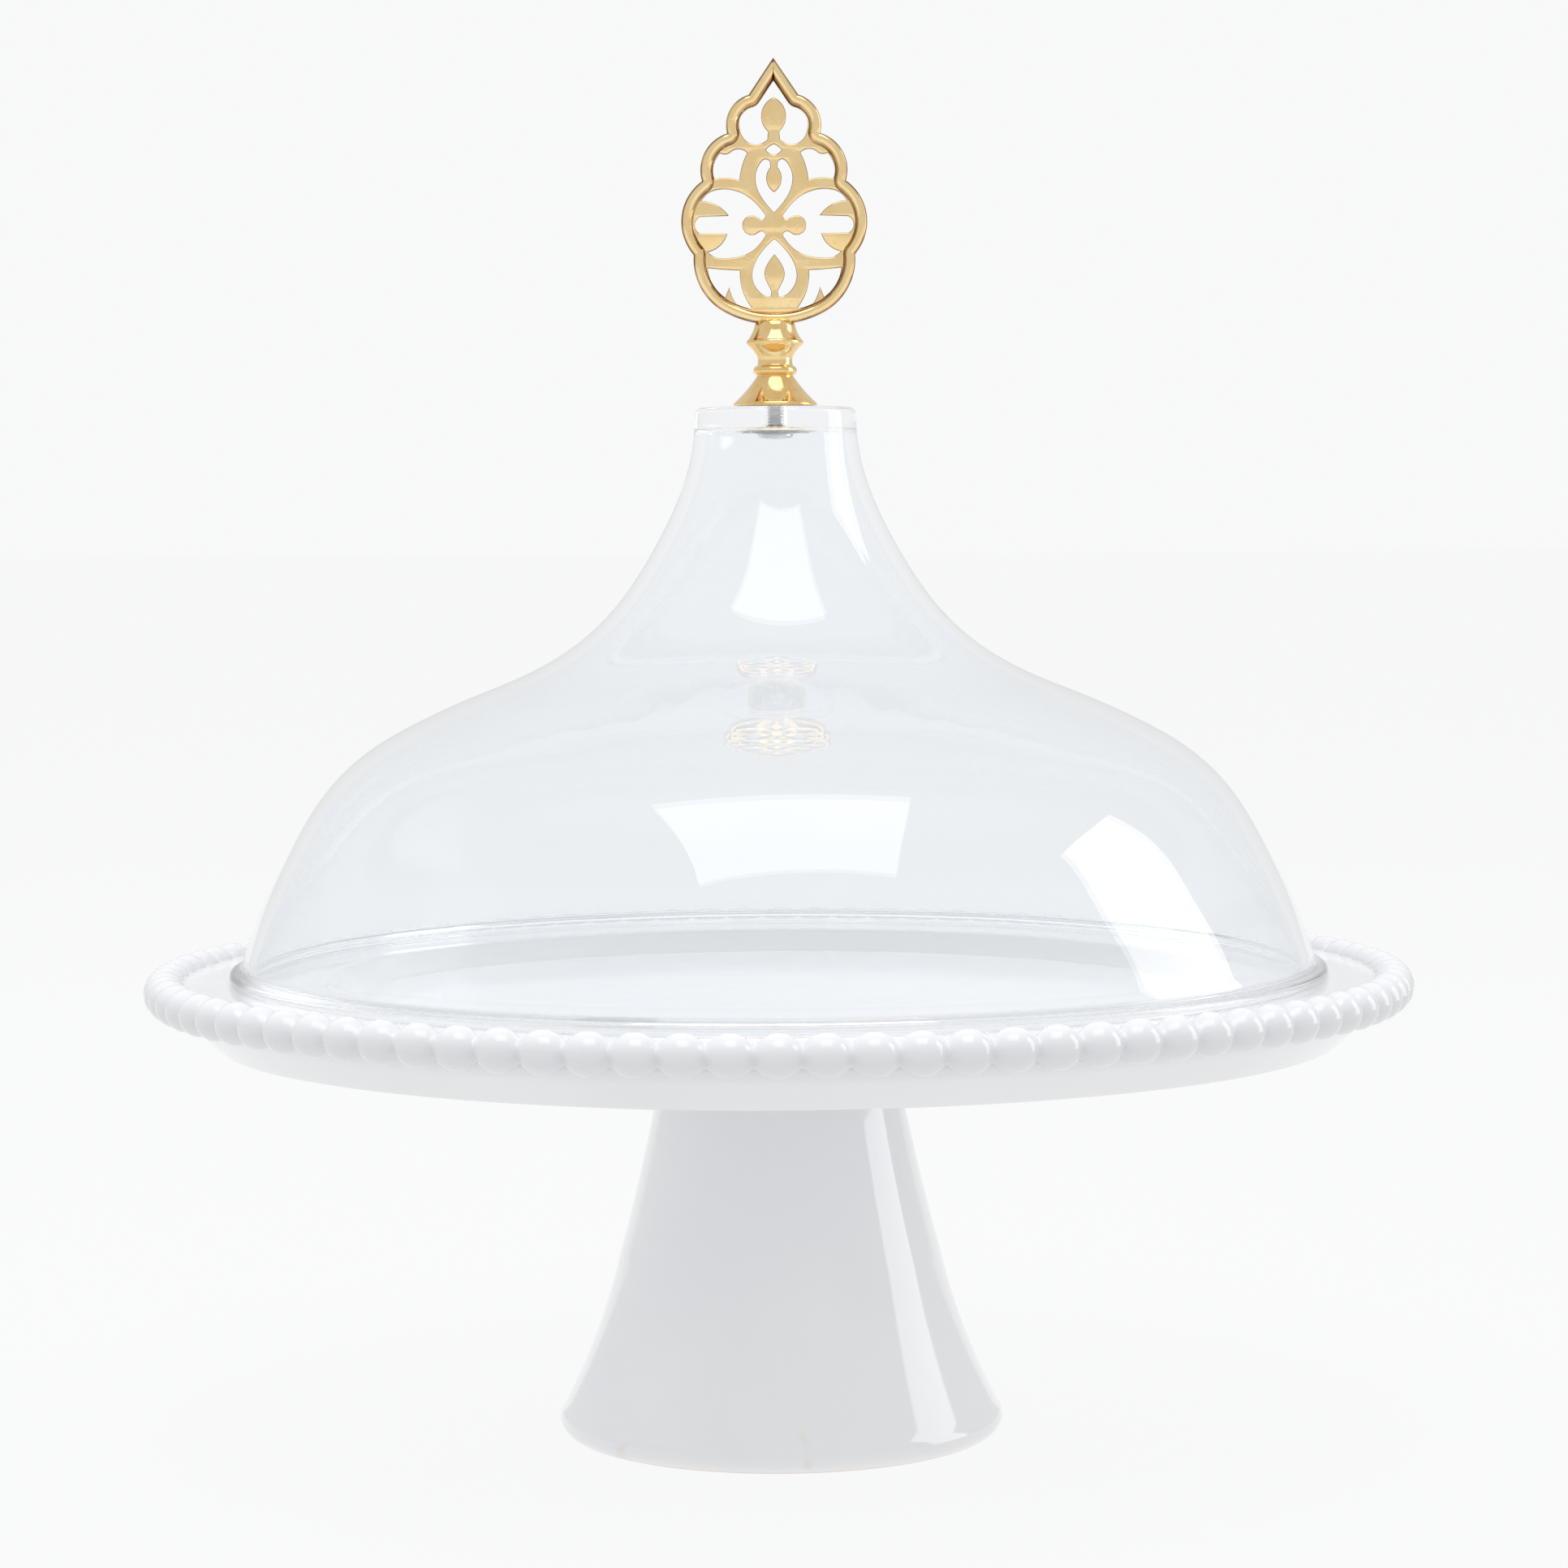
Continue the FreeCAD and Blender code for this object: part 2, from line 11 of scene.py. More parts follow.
import bmesh
import bpy
import numpy as np
from mathutils import Matrix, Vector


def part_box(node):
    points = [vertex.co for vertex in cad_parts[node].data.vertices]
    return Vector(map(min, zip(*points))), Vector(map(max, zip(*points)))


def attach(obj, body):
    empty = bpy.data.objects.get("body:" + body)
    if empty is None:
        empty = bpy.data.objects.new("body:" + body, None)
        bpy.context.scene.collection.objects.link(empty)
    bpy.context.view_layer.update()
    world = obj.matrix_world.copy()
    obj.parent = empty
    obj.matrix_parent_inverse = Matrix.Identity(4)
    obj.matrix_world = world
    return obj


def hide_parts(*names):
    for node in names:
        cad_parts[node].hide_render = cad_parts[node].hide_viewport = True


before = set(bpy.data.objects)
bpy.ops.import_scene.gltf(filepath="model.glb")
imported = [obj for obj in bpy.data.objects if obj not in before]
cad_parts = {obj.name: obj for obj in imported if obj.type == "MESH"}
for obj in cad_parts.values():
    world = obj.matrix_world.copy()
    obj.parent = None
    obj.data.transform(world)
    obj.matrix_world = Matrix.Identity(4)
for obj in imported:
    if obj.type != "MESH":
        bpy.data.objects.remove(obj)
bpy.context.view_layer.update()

print("nodes:", sorted(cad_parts))

# %% [markdown]
# ## Units and sizes
#
# Blender works in metres, and a potter's drawing is in millimetres. Lengths here are written in millimetres and
# become metres when a mesh is made. The leading sizes are read from the frame, so that the pieces agree with it.

# %% Sizes
MM = 0.001


def extent(node):
    """Lowest and highest corner of a CAD node, in millimetres."""
    low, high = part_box(node)
    return np.array(low) / MM, np.array(high) / MM


plate_high = extent("plate")[1]
dome_low, dome_high = extent("dome")
stem_low, stem_high = extent("finial_stem")
crest_low, crest_high = extent("finial_crest")
screw_low, screw_high = extent("fixing_screw")
washer_low, washer_high = extent("screw_washer")

seat = dome_low[2]
cap_top = dome_high[2]
bead = 4.9
bead_ring = plate_high[0] - bead
bead_level = plate_high[2] - bead
print(f"seat at {seat:.1f} mm, cap at {cap_top:.1f} mm, bead ring radius {bead_ring:.1f} mm")

# %% [markdown]
# ## From a grid of points to a mesh
#
# A turned or swept shape is a grid: one direction runs along the profile, the other round the axis or along the
# path. A cell of the grid is one face. Where a row shrinks to a point, on the axis, its faces become triangles,
# so that the pole is closed. The sign of the enclosed volume tells whether the faces look outwards.


# %% Grid to mesh
def placed(name, data):
    """A new object in the scene, with this mesh, curve, light or camera in it."""
    obj = bpy.data.objects.new(name, data)
    bpy.context.scene.collection.objects.link(obj)
    return obj


def piece(name, grid, loop_rows=False):
    """An object made of a grid of points in millimetres, rows by columns.

    The last column always joins the first, and with loop_rows the last row does too. The volume inside is the
    sum of a . (b x c) / 6 over the triangles, and if it comes out negative every face is turned over.
    """
    rows, columns = grid.shape[:2]
    ids = np.arange(rows * columns).reshape(rows, columns)
    shrunk = np.ptp(grid, axis=1).max(axis=1) < 1e-6
    ids[shrunk] = ids[shrunk, :1]
    if loop_rows:
        ids = np.vstack([ids, ids[:1]])
    ids = np.hstack([ids, ids[:, :1]])
    cells = np.stack([ids[:-1, :-1], ids[:-1, 1:], ids[1:, 1:], ids[1:, :-1]], axis=-1).reshape(-1, 4)
    low_point = cells[:, 0] == cells[:, 1]
    high_point = cells[:, 2] == cells[:, 3]
    quads = cells[~low_point & ~high_point]
    fans = np.vstack([cells[low_point][:, [0, 2, 3]], cells[high_point][:, :3]])
    corners = grid.reshape(-1, 3) * MM
    triangles = np.vstack([quads[:, :3], quads[:, [0, 2, 3]], fans])
    a, b, c = (corners[triangles[:, k]] for k in range(3))
    if np.einsum("ij,ij->i", a, np.cross(b, c)).sum() < 0:
        quads, fans = quads[:, ::-1], fans[:, ::-1]
    used, place = np.unique(np.concatenate([quads.ravel(), fans.ravel()]), return_inverse=True)
    faces = place[: quads.size].reshape(-1, 4).tolist() + place[quads.size:].reshape(-1, 3).tolist()
    mesh = bpy.data.meshes.new(name)
    mesh.from_pydata(corners[used].tolist(), [], faces)
    mesh.shade_smooth()
    mesh.update()
    print(f"{name}: {len(used)} vertices, {len(faces)} faces")
    return placed(name, mesh)


def turned(profile, steps):
    """A profile of (radius, height) carried round the Z axis: x = r cos t, y = r sin t, z = height."""
    t = np.linspace(0, 2 * np.pi, steps, endpoint=False)
    r, z = profile[:, :1], profile[:, 1:]
    return np.stack([r * np.cos(t), r * np.sin(t), z + 0 * t], axis=-1)


# %% [markdown]
# ## Drawing profiles
#
# A profile is drawn as a person would draw it: straight runs with rounded corners, arcs, and a few free curves.
# Three small helpers do this. The long runs are then divided, because a glaze or a glass wall needs vertices to
# carry the slight unevenness that a hand-finished surface has.


# %% Profile helpers
def bend(start, end, bulge, count=24):
    """Points of an arc from start to end. Bulge is its height over half its chord, positive to the right."""
    start, end = np.array(start, float), np.array(end, float)
    half = 2 * math.atan(abs(bulge))
    chord = np.linalg.norm(end - start)
    radius = chord / 2 / math.sin(half)
    along = (end - start) / chord
    right = np.array([along[1], -along[0]]) * math.copysign(1, bulge)
    centre = (start + end) / 2 - right * radius * math.cos(half)
    turn = np.linspace(-half, half, count)[:, None]
    return centre + radius * (np.sin(turn) * along + np.cos(turn) * right)


def rounded(corners, steps=7):
    """Points of a closed outline of (across, up, radius) corners, each corner an arc tangent to its two sides."""
    points = np.array([c[:2] for c in corners], float)
    parts = []
    for i, (_, _, radius) in enumerate(corners):
        here = points[i]
        if radius == 0:
            parts.append(here[None])
            continue
        to_last = points[i - 1] - here
        to_next = points[(i + 1) % len(points)] - here
        to_last /= np.linalg.norm(to_last)
        to_next /= np.linalg.norm(to_next)
        angle = math.acos(np.clip(to_last @ to_next, -1, 1))
        reach = radius / math.tan(angle / 2)
        middle = to_last + to_next
        centre = here + middle / np.linalg.norm(middle) * radius / math.sin(angle / 2)
        first = here + to_last * reach - centre
        last = here + to_next * reach - centre
        start = math.atan2(first[1], first[0])
        sweep = (math.atan2(last[1], last[0]) - start + math.pi) % (2 * math.pi) - math.pi
        turn = start + sweep * np.linspace(0, 1, steps)[:, None]
        parts.append(centre + radius * np.hstack([np.cos(turn), np.sin(turn)]))
    return np.vstack(parts)


def free_curve(points, count):
    """A natural cubic spline through the points: the bends at its knots solve one tridiagonal system."""
    p = np.array(points, float)
    knots = np.concatenate([[0], np.cumsum(np.linalg.norm(np.diff(p, axis=0), axis=1))])
    gap = np.diff(knots)[:, None]
    n = len(p)
    system = np.eye(n)
    rhs = np.zeros_like(p)
    inner = np.arange(1, n - 1)
    system[inner, inner - 1] = gap[:-1, 0]
    system[inner, inner] = 2 * (gap[:-1, 0] + gap[1:, 0])
    system[inner, inner + 1] = gap[1:, 0]
    rhs[1:-1] = 6 * (np.diff(p[1:], axis=0) / gap[1:] - np.diff(p[:-1], axis=0) / gap[:-1])
    curve = np.linalg.solve(system, rhs)
    at = np.linspace(0, knots[-1], count)
    k = np.clip(np.searchsorted(knots, at, side="right") - 1, 0, n - 2)
    g, left, right = gap[k], (at - knots[k])[:, None], (knots[k + 1] - at)[:, None]
    bow = (curve[k] * right**3 + curve[k + 1] * left**3) / (6 * g)
    return bow + (p[k] / g - curve[k] * g / 6) * right + (p[k + 1] / g - curve[k + 1] * g / 6) * left


def divided(points, longest):
    """The same closed outline with every side cut into equal pieces no longer than `longest`."""
    ends = np.roll(points, -1, axis=0)
    pieces = np.maximum(1, np.ceil(np.linalg.norm(ends - points, axis=1) / longest)).astype(int)
    which = np.repeat(np.arange(len(points)), pieces)
    step = np.arange(pieces.sum()) - np.repeat(np.cumsum(pieces) - pieces, pieces)
    share = (step / pieces[which])[:, None]
    return points[which] * (1 - share) + ends[which] * share


def clean(points):
    """The outline without points that repeat the one before."""
    step = np.linalg.norm(points - np.roll(points, 1, axis=0), axis=1)
    return points[step > 1e-4]


QUARTER = 0.41
print(f"a quarter turn has a bulge of {math.tan(math.pi / 8):.3f}, written as {QUARTER}")

# %% [markdown]
# ## Shader maths as Python
#
# A Blender material is a graph. Writing it node by node hides the idea, so a socket is wrapped in a small class:
# adding, taking away and multiplying wrapped sockets adds the Math nodes. Everything else comes from one method,
# `node`, which makes any node, gives it its settings and then its inputs.


# %% Finish and wire
class Wire:
    """A number socket that Python's operators work on."""

    def __init__(self, finish, socket):
        self.finish = finish
        self.socket = socket

    def maths(self, operation, *others):
        """A Math node whose first input is this wire."""
        inputs = dict(enumerate((self, *others)))
        return self.finish.node("ShaderNodeMath", {"operation": operation}, inputs)

    def __add__(self, other):
        return self.maths("ADD", other)

    def __sub__(self, other):
        return self.maths("SUBTRACT", other)

    def __rsub__(self, other):
        return self.finish.node("ShaderNodeMath", {"operation": "SUBTRACT"}, {0: other, 1: self})

    def __mul__(self, other):
        return self.maths("MULTIPLY", other)

    def __gt__(self, other):
        return self.maths("GREATER_THAN", other)

    def __pow__(self, other):
        return self.maths("POWER", other)

    __radd__ = __add__
    __rmul__ = __mul__


class Finish:
    """A material with one Principled shader, and the methods that feed it."""

    def __init__(self, name, **settings):
        self.material = bpy.data.materials.new(name)
        self.material.use_nodes = True
        self.tree = self.material.node_tree
        self.shader = self.tree.nodes["Principled BSDF"]
        for socket, value in settings.items():
            self.shader.inputs[socket.replace("_", " ").title().replace("Ior", "IOR")].default_value = value
        self.place = self.node("ShaderNodeTexCoord", output="Object")
        print("finish:", name)

    def node(self, kind, settings=None, inputs=None, output=0):
        """Any node: its settings are set first, then its inputs, each a value, a wire, or a socket's link."""
        made = self.tree.nodes.new(kind)
        for key, value in (settings or {}).items():
            setattr(made, key, value)
        for key, value in (inputs or {}).items():
            self.feed(made.inputs[key], value)
        return Wire(self, made.outputs[output])

    def feed(self, socket, value):
        """Links a wire to a socket, or sets the socket to a plain value."""
        if isinstance(value, Wire):
            self.tree.links.new(value.socket, socket)
        else:
            socket.default_value = value

    def use(self, name, value):
        """Feeds one input of the shader."""
        self.feed(self.shader.inputs[name], value)

    def noise(self, scale, detail=2.0, roughness=0.5, at=None):
        """Fractal noise with features about 1 / scale metres across."""
        inputs = {"Vector": at or self.place, "Scale": scale, "Detail": detail, "Roughness": roughness}
        return self.node("ShaderNodeTexNoise", {"noise_dimensions": "3D"}, inputs, "Fac")

    def stretched(self, x, y, z):
        """Object coordinates squeezed along each axis, for a grain that runs one way."""
        return self.node("ShaderNodeMapping", {}, {"Vector": self.place, "Scale": (x, y, z)})

    def range(self, value, low, high, to_low=0.0, to_high=1.0):
        """A value carried from one range to another by an S-shaped curve, and held at its ends."""
        inputs = {"Value": value, "From Min": low, "From Max": high, "To Min": to_low, "To Max": to_high}
        return self.node("ShaderNodeMapRange", {"interpolation_type": "SMOOTHSTEP"}, inputs, "Result")

    def mix(self, share, first, second):
        """Two colours mixed by a share."""
        made = self.tree.nodes.new("ShaderNodeMix")
        made.data_type = "RGBA"
        self.feed(made.inputs[0], share)
        for socket, value in ((made.inputs[6], first), (made.inputs[7], second)):
            self.feed(socket, value if isinstance(value, Wire) else (*value, 1.0))
        return Wire(self, made.outputs[2])

    def bump(self, height, depth, strength=1.0):
        """Feeds the shader's normal from a height, with depth in metres for a height of one."""
        inputs = {"Height": height, "Distance": depth, "Strength": strength}
        self.use("Normal", self.node("ShaderNodeBump", {}, inputs, "Normal"))

    def reach(self):
        """The distance from the upright axis, in metres: the length of the place with its height left out."""
        flat = self.node("ShaderNodeVectorMath", {"operation": "MULTIPLY"}, {0: self.place, 1: (1.0, 1.0, 0.0)})
        return self.node("ShaderNodeVectorMath", {"operation": "LENGTH"}, {0: flat}, "Value")

    def axis(self, which):
        """One object coordinate, in metres."""
        return self.node("ShaderNodeSeparateXYZ", {}, {0: self.place}, which)

    def facing(self, which):
        """How far the surface faces along one object axis, from 0 to 1, either way."""
        normal = self.node("ShaderNodeTexCoord", output="Normal")
        return self.node("ShaderNodeSeparateXYZ", {}, {0: normal}, which).maths("ABSOLUTE")


def dress(obj, finish, body, slot, *nodes):
    """Gives a piece its finish, the body it moves with, and the CAD nodes that it stands for; the slot is not used.
    """
    obj.data.materials.clear()
    obj.data.materials.append(finish.material)
    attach(obj, body)
    if nodes:
        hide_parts(*nodes)


# %% [markdown]
# ## The glaze
#
# The stand is white porcelain under a clear glaze. Its white isn't even. The plate's face under the dome is painted
# whiter, and the well's slope whiter still: painted light that stands in for the light that the glass takes away and
# that the slope misses. The beads are painted greyer, as painted shade. The glaze has a faint orange peel that bends
# reflections, and the kiln leaves a few iron specks and pale beige marks low on the foot. The foot's rim is wiped
# before firing, so it stays matt and a little warm.
#
# Two measures say where each tone lies: the distance from the axis, and the height, which tells the plate's
# face from its underside.


# %% Porcelain finish
# The first two colours below are painted shade on the beads and painted light on the well's slope.
BEAD_PAINTED_SHADE = (0.74, 0.745, 0.765)
SLOPE_PAINTED_LIGHT = (0.975, 0.98, 0.985)
SPECK_BROWN = (0.36, 0.30, 0.25)
STAIN_BEIGE = (0.70, 0.62, 0.48)
BARE_CLAY = (0.74, 0.69, 0.62)
GLAZE_COAT = 0.35


def glaze_white_and_painted_light(glaze):
    """The glaze's white with painted shade and light: greyer over the beads as painted shade, whiter within the
    plate's face and whitest on the well's slope as painted light.
    """
    cloud = glaze.range(glaze.noise(11.0, 3.0), 0.35, 0.65)
    out, height = glaze.reach(), glaze.axis("Z")
    white = glaze.mix(cloud, (0.785, 0.79, 0.81), (0.82, 0.825, 0.835))
    # painted shade: the beads are given a greyer white
    white = glaze.mix(glaze.range(out, 0.139, 0.142), white, BEAD_PAINTED_SHADE)
    # painted light: the plate's face under the dome gets a whiter white, for the light that the glass takes away
    dome_painted_light = glaze.mix(cloud, (0.90, 0.905, 0.92), (0.93, 0.932, 0.94))
    # painted light: the well's slope is given a whiter white still
    slope = glaze.range(out, 0.0995, 0.101) * glaze.range(out, 0.106, 0.1085, 1.0, 0.0)
    dome_painted_light = glaze.mix(slope, dome_painted_light, SLOPE_PAINTED_LIGHT)
    upper = glaze.range(height, (seat - 7.0) * MM, (seat - 5.5) * MM)
    return glaze.mix(glaze.range(out, 0.126, 0.134, 1.0, 0.0) * upper, white, dome_painted_light)


def kiln_marks(glaze, body):
    """Specks where the distance to the nearest cell of a cell noise is small, and stains low on the foot."""
    cells = {"feature": "F1", "distance": "EUCLIDEAN"}
    near = glaze.node("ShaderNodeTexVoronoi", cells, {"Vector": glaze.place, "Scale": 62.0}, "Distance")
    speck = glaze.range(near, 0.012, 0.022, 1.0, 0.0) * (glaze.noise(37.0, 1.0) > 0.6)
    body = glaze.mix(speck * 0.55, body, SPECK_BROWN)
    low = glaze.range(glaze.axis("Z"), 0.006, 0.016, 1.0, 0.0)
    stain = glaze.range(glaze.noise(70.0, 2.0), 0.66, 0.74) * low
    return glaze.mix(stain * 0.35, body, STAIN_BEIGE)


def porcelain_finish():
    """Gloss over white, with its kiln marks, and a bare matt ring under the foot."""
    glaze = Finish("porcelain_glaze", roughness=0.09, ior=1.52, coat_weight=GLAZE_COAT, coat_roughness=0.03)
    body = kiln_marks(glaze, glaze_white_and_painted_light(glaze))
    bare = glaze.range(glaze.axis("Z"), 0.0003, 0.0008, 1.0, 0.0)
    glaze.use("Base Color", glaze.mix(bare, body, BARE_CLAY))
    smear = glaze.range(glaze.noise(24.0, 4.0, 0.6), 0.4, 0.75)
    glaze.use("Roughness", bare * 0.6 + smear * 0.05 + 0.07)
    glaze.use("Coat Weight", (1 - bare) * GLAZE_COAT)
    glaze.bump(glaze.noise(140.0, 2.0) * 0.6 + glaze.noise(900.0, 1.0) * bare, 0.00006, 0.6)
    return glaze


glaze = porcelain_finish()

# %% [markdown]
# ## The plate
#
# The plate is jiggered: a turning mould shapes its top and a profiled blade its underside, so a profile carried
# round the axis is how it is really made. Its edges are drawn as corners with radii. A slight warp is added, as
# kiln shrinkage gives, because a perfectly true rim reflects light in lines that no fired plate has.

# %% Plate profile
well_radius = 99.5
well_slope = 8.0
well_floor = seat - 5.0
under_well = well_floor - 6.0
under_rim = seat - 6.0
skirt_low = seat - 15.0 + 0.1
skirt_radius = 131.5
rim_edge = bead_ring - 0.9
under_glass = 0.12
SMALLEST = 1e-6
WARP = 0.12
WARP_SEED = 4


def plate_profile():
    """The plate's section, from the axis below, out along the underside, round the rim and back above."""
    corners = [
        (0.0, under_well, 0),
        (well_radius + 3.0, under_well, 3.0),
        (well_radius + 11.0, under_rim, 4.0),
        (skirt_radius - 5.0, under_rim, 2.2),
        (skirt_radius - 2.6, skirt_low, 1.2),
        (skirt_radius + 1.4, skirt_low, 1.8),
        (rim_edge - 1.2, bead_level - 3.4, 3.0),
        (rim_edge, bead_level, 1.0),
        (rim_edge - 2.2, seat - under_glass, 1.6),
        (well_radius + well_slope, seat - under_glass, 3.5),
        (well_radius, well_floor, 4.5),
        (0.0, well_floor, 0),
    ]
    outline = divided(clean(rounded(corners)), 2.6)
    off_axis = outline[outline[:, 0] >= SMALLEST]
    return np.vstack([outline[:1], off_axis, [[0.0, well_floor]]])


def warp(grid, amount, seed):
    """Moves heights by a few slow waves round the axis, which grow with the square of the radius."""
    rng = np.random.default_rng(seed)
    x, y, z = np.moveaxis(grid, -1, 0)
    t, r = np.arctan2(y, x), np.hypot(x, y)
    wave = sum(rng.normal() / n * np.cos(n * t + rng.uniform(0, 6.28)) for n in (2, 3, 5, 8, 13))
    share = (r / plate_high[0]) ** 2
    return np.stack([x, y, z + amount * wave * share], axis=-1)


plate = piece("plate", warp(turned(plate_profile(), 368), WARP, WARP_SEED))
dress(plate, glaze, "stand", "porcelain", "plate")

# %% [markdown]
# ## The beads
#
# The rim carries a border of beads, cast with the plate. After glazing they aren't separate balls: glaze gathers
# between them and joins one to the next. So the border is one closed string, a tube round the rim whose radius
# swells at each bead. It is worked out from the sine of a phase that runs once through each bead, which gives a
# round bead evenly spaced vertices and keeps the joints sharp.

# %% Bead border
BEAD_PITCH = 9.91
beads = round(2 * math.pi * bead_ring / BEAD_PITCH)


def bead_string(count, along=18, around=22, web=0.52):
    """A tube of radius a (cos(p)^4 + web^4)^(1/4) / (1 + web^4)^(1/4), where sin(p) is the place within a bead."""
    phase = np.linspace(-np.pi / 2, np.pi / 2, along, endpoint=False)
    place = (np.arange(count)[:, None] + np.sin(phase) / 2).ravel()
    tube = bead * ((np.cos(phase) ** 4 + web**4) / (1 + web**4)) ** 0.25
    tube = np.tile(tube, count)[:, None]
    t = (place * 2 * np.pi / count)[:, None]
    round_tube = np.linspace(0, 2 * np.pi, around, endpoint=False)[None]
    r = bead_ring + tube * np.cos(round_tube)
    z = bead_level + tube * np.sin(round_tube)
    return np.stack([r * np.cos(t), r * np.sin(t), z], axis=-1)


border = piece("bead_border", warp(bead_string(beads), WARP, WARP_SEED), loop_rows=True)
dress(border, glaze, "stand", "porcelain", "plate")
print(beads, "beads in the border")

# %% [markdown]
# ## The pedestal
#
# The foot is slip cast hollow, in a mould of its own, and joined to the plate with slip before glazing. Its wall
# follows two shallow arcs that flare into a rounded base, and glaze fills the corner under the plate as a cove.
# The inside is bare of detail but is seen when the stand is washed, so it is a real inner wall.

# %% Pedestal
foot_radius = 53.0
foot_round = 3.6
flare = (38.3, 43.0)
neck_radius = 26.8
cove = 4.0
foot_wall = 5.5


def pedestal_profile():
    """Outside from the base up to the cove, then down the inside, as one closed outline."""
    outside_low = bend((foot_radius - 0.9, foot_round * 1.7), flare, -0.066, 22)
    outside_high = bend(flare, (neck_radius, under_well - cove), -0.024, 22)
    cove_arc = bend((neck_radius, under_well - cove), (neck_radius + cove, under_well + 0.4), -0.38, 9)
    base = bend((foot_radius - foot_round, 0.0), (foot_radius, foot_round), 0.36, 10)
    ankle = bend((foot_radius, foot_round), (foot_radius - 0.9, foot_round * 1.7), 0.2, 6)
    inside_high = bend((neck_radius - foot_wall, under_well + 0.4), (flare[0] - foot_wall, flare[1]), 0.024, 20)
    inside_low = bend((flare[0] - foot_wall, flare[1]), (foot_radius - foot_wall - foot_round, 0.3), 0.066, 20)
    lip = bend(inside_low[-1], (inside_low[-1][0] + 0.4, 0.0), 0.2, 4)
    return clean(np.vstack([base, ankle, outside_low, outside_high, cove_arc, inside_high, inside_low, lip]))


def wandering(grid, amount, seed, counts, lengths, low, high):
    """Moves a wall out or in by slow waves round and along it, as a hand or a breath leaves it.

    Each wave is cos(n t + phase + z / length). Their sum is faded by half a sine between the heights low and
    high, so that both ends stay true.
    """
    rng = np.random.default_rng(seed)
    x, y, z = np.moveaxis(grid, -1, 0)
    t, r = np.arctan2(y, x), np.hypot(x, y)
    waves = sum(rng.normal() / n * np.cos(n * t + rng.uniform(0, 6.28) + z / rng.uniform(*lengths)) for n in counts)
    share = np.sin(np.clip((z - low) / (high - low), 0, 1) * np.pi)
    out = 1 + amount * waves * share / np.maximum(r, 1)
    return np.stack([x * out, y * out, z], axis=-1)


true_foot = turned(divided(pedestal_profile(), 2.4), 256)
pedestal_grid = wandering(true_foot, 0.1, 7, (1, 2, 3, 4), (9, 25), 0.0, under_well)
pedestal = piece("pedestal", pedestal_grid, loop_rows=True)
dress(pedestal, glaze, "stand", "porcelain", "pedestal")

# %% [markdown]
# ## Clear glass
#
# The dome is pressed and blown glass. A thin surface trick would lose what shows best here: the thick cap that
# bends the screw inside it, and the foot ring that draws dark lines over the plate. So the glass is a real wall,
# with an outer and an inner surface, and the shader bends light at both. The tint is very faint, because light
# crosses four surfaces, and a little stronger where the wall is seen edge on and light runs further inside it.
# Its roughness varies a little, as handled glass does, and the foot is ground, so that it isn't quite clear.


# %% Glass finish
EDGE_TINT = (0.885, 0.912, 0.948)


def glass_finish():
    """Clear glass: transmission with an index of 1.5, a faint blue tint, and slow waves in the surface."""
    glass = Finish("clear_glass", ior=1.5, transmission_weight=1.0, roughness=0.0)
    tint = glass.mix(glass.range(glass.noise(8.0, 1.0), 0.3, 0.7), (0.955, 0.970, 0.985), (0.963, 0.976, 0.989))
    edge_on = glass.node("ShaderNodeLayerWeight", {}, {"Blend": 0.5}, "Facing")
    glass.use("Base Color", glass.mix(glass.range(edge_on, 0.55, 0.98), tint, EDGE_TINT))
    touch = glass.range(glass.noise(30.0, 5.0, 0.65), 0.6, 0.85)
    ground = glass.range(glass.axis("Z"), (seat + 0.8) * MM, (seat + 3.2) * MM, 0.06, 0.0)
    glass.use("Roughness", touch * 0.02 + ground)
    glass.bump(glass.noise(26.0, 1.0), 0.0006, 0.12)
    return glass


glass = glass_finish()

# %% [markdown]
# ## The dome
#
# The bell's outside is one free curve from the cap to the foot, given as shares of its width and height. The
# inside runs parallel to it at the wall's thickness. The cap is a solid disc with a rounded edge and a hole for
# the screw, and the foot turns out into a ring with a rounded edge.

# %% Dome
BELL = [
    (0.0, 1.0), (0.0045, 0.95), (0.036, 0.85), (0.091, 0.755), (0.16, 0.665),
    (0.243, 0.592), (0.378, 0.522), (0.505, 0.478), (0.61, 0.438), (0.708, 0.392),
    (0.78, 0.343), (0.836, 0.287), (0.906, 0.186), (0.961, 0.088), (1.0, 0.0),
]
dome_wall = 3.0
dome_radius = 127.0
cap_radius = 19.0
cap_round = 1.6
cap_under = cap_top - 5.0
ring_radius = dome_high[0]
ring_thickness = 2.6
ring_cove = 1.6
cap_hole = 2.25


def parallel(points, distance):
    """The points moved square to their curve, towards the axis side of a curve that runs downwards."""
    slope = np.gradient(points, axis=0)
    slope /= np.linalg.norm(slope, axis=1)[:, None]
    return points + distance * np.stack([slope[:, 1], -slope[:, 0]], axis=-1)


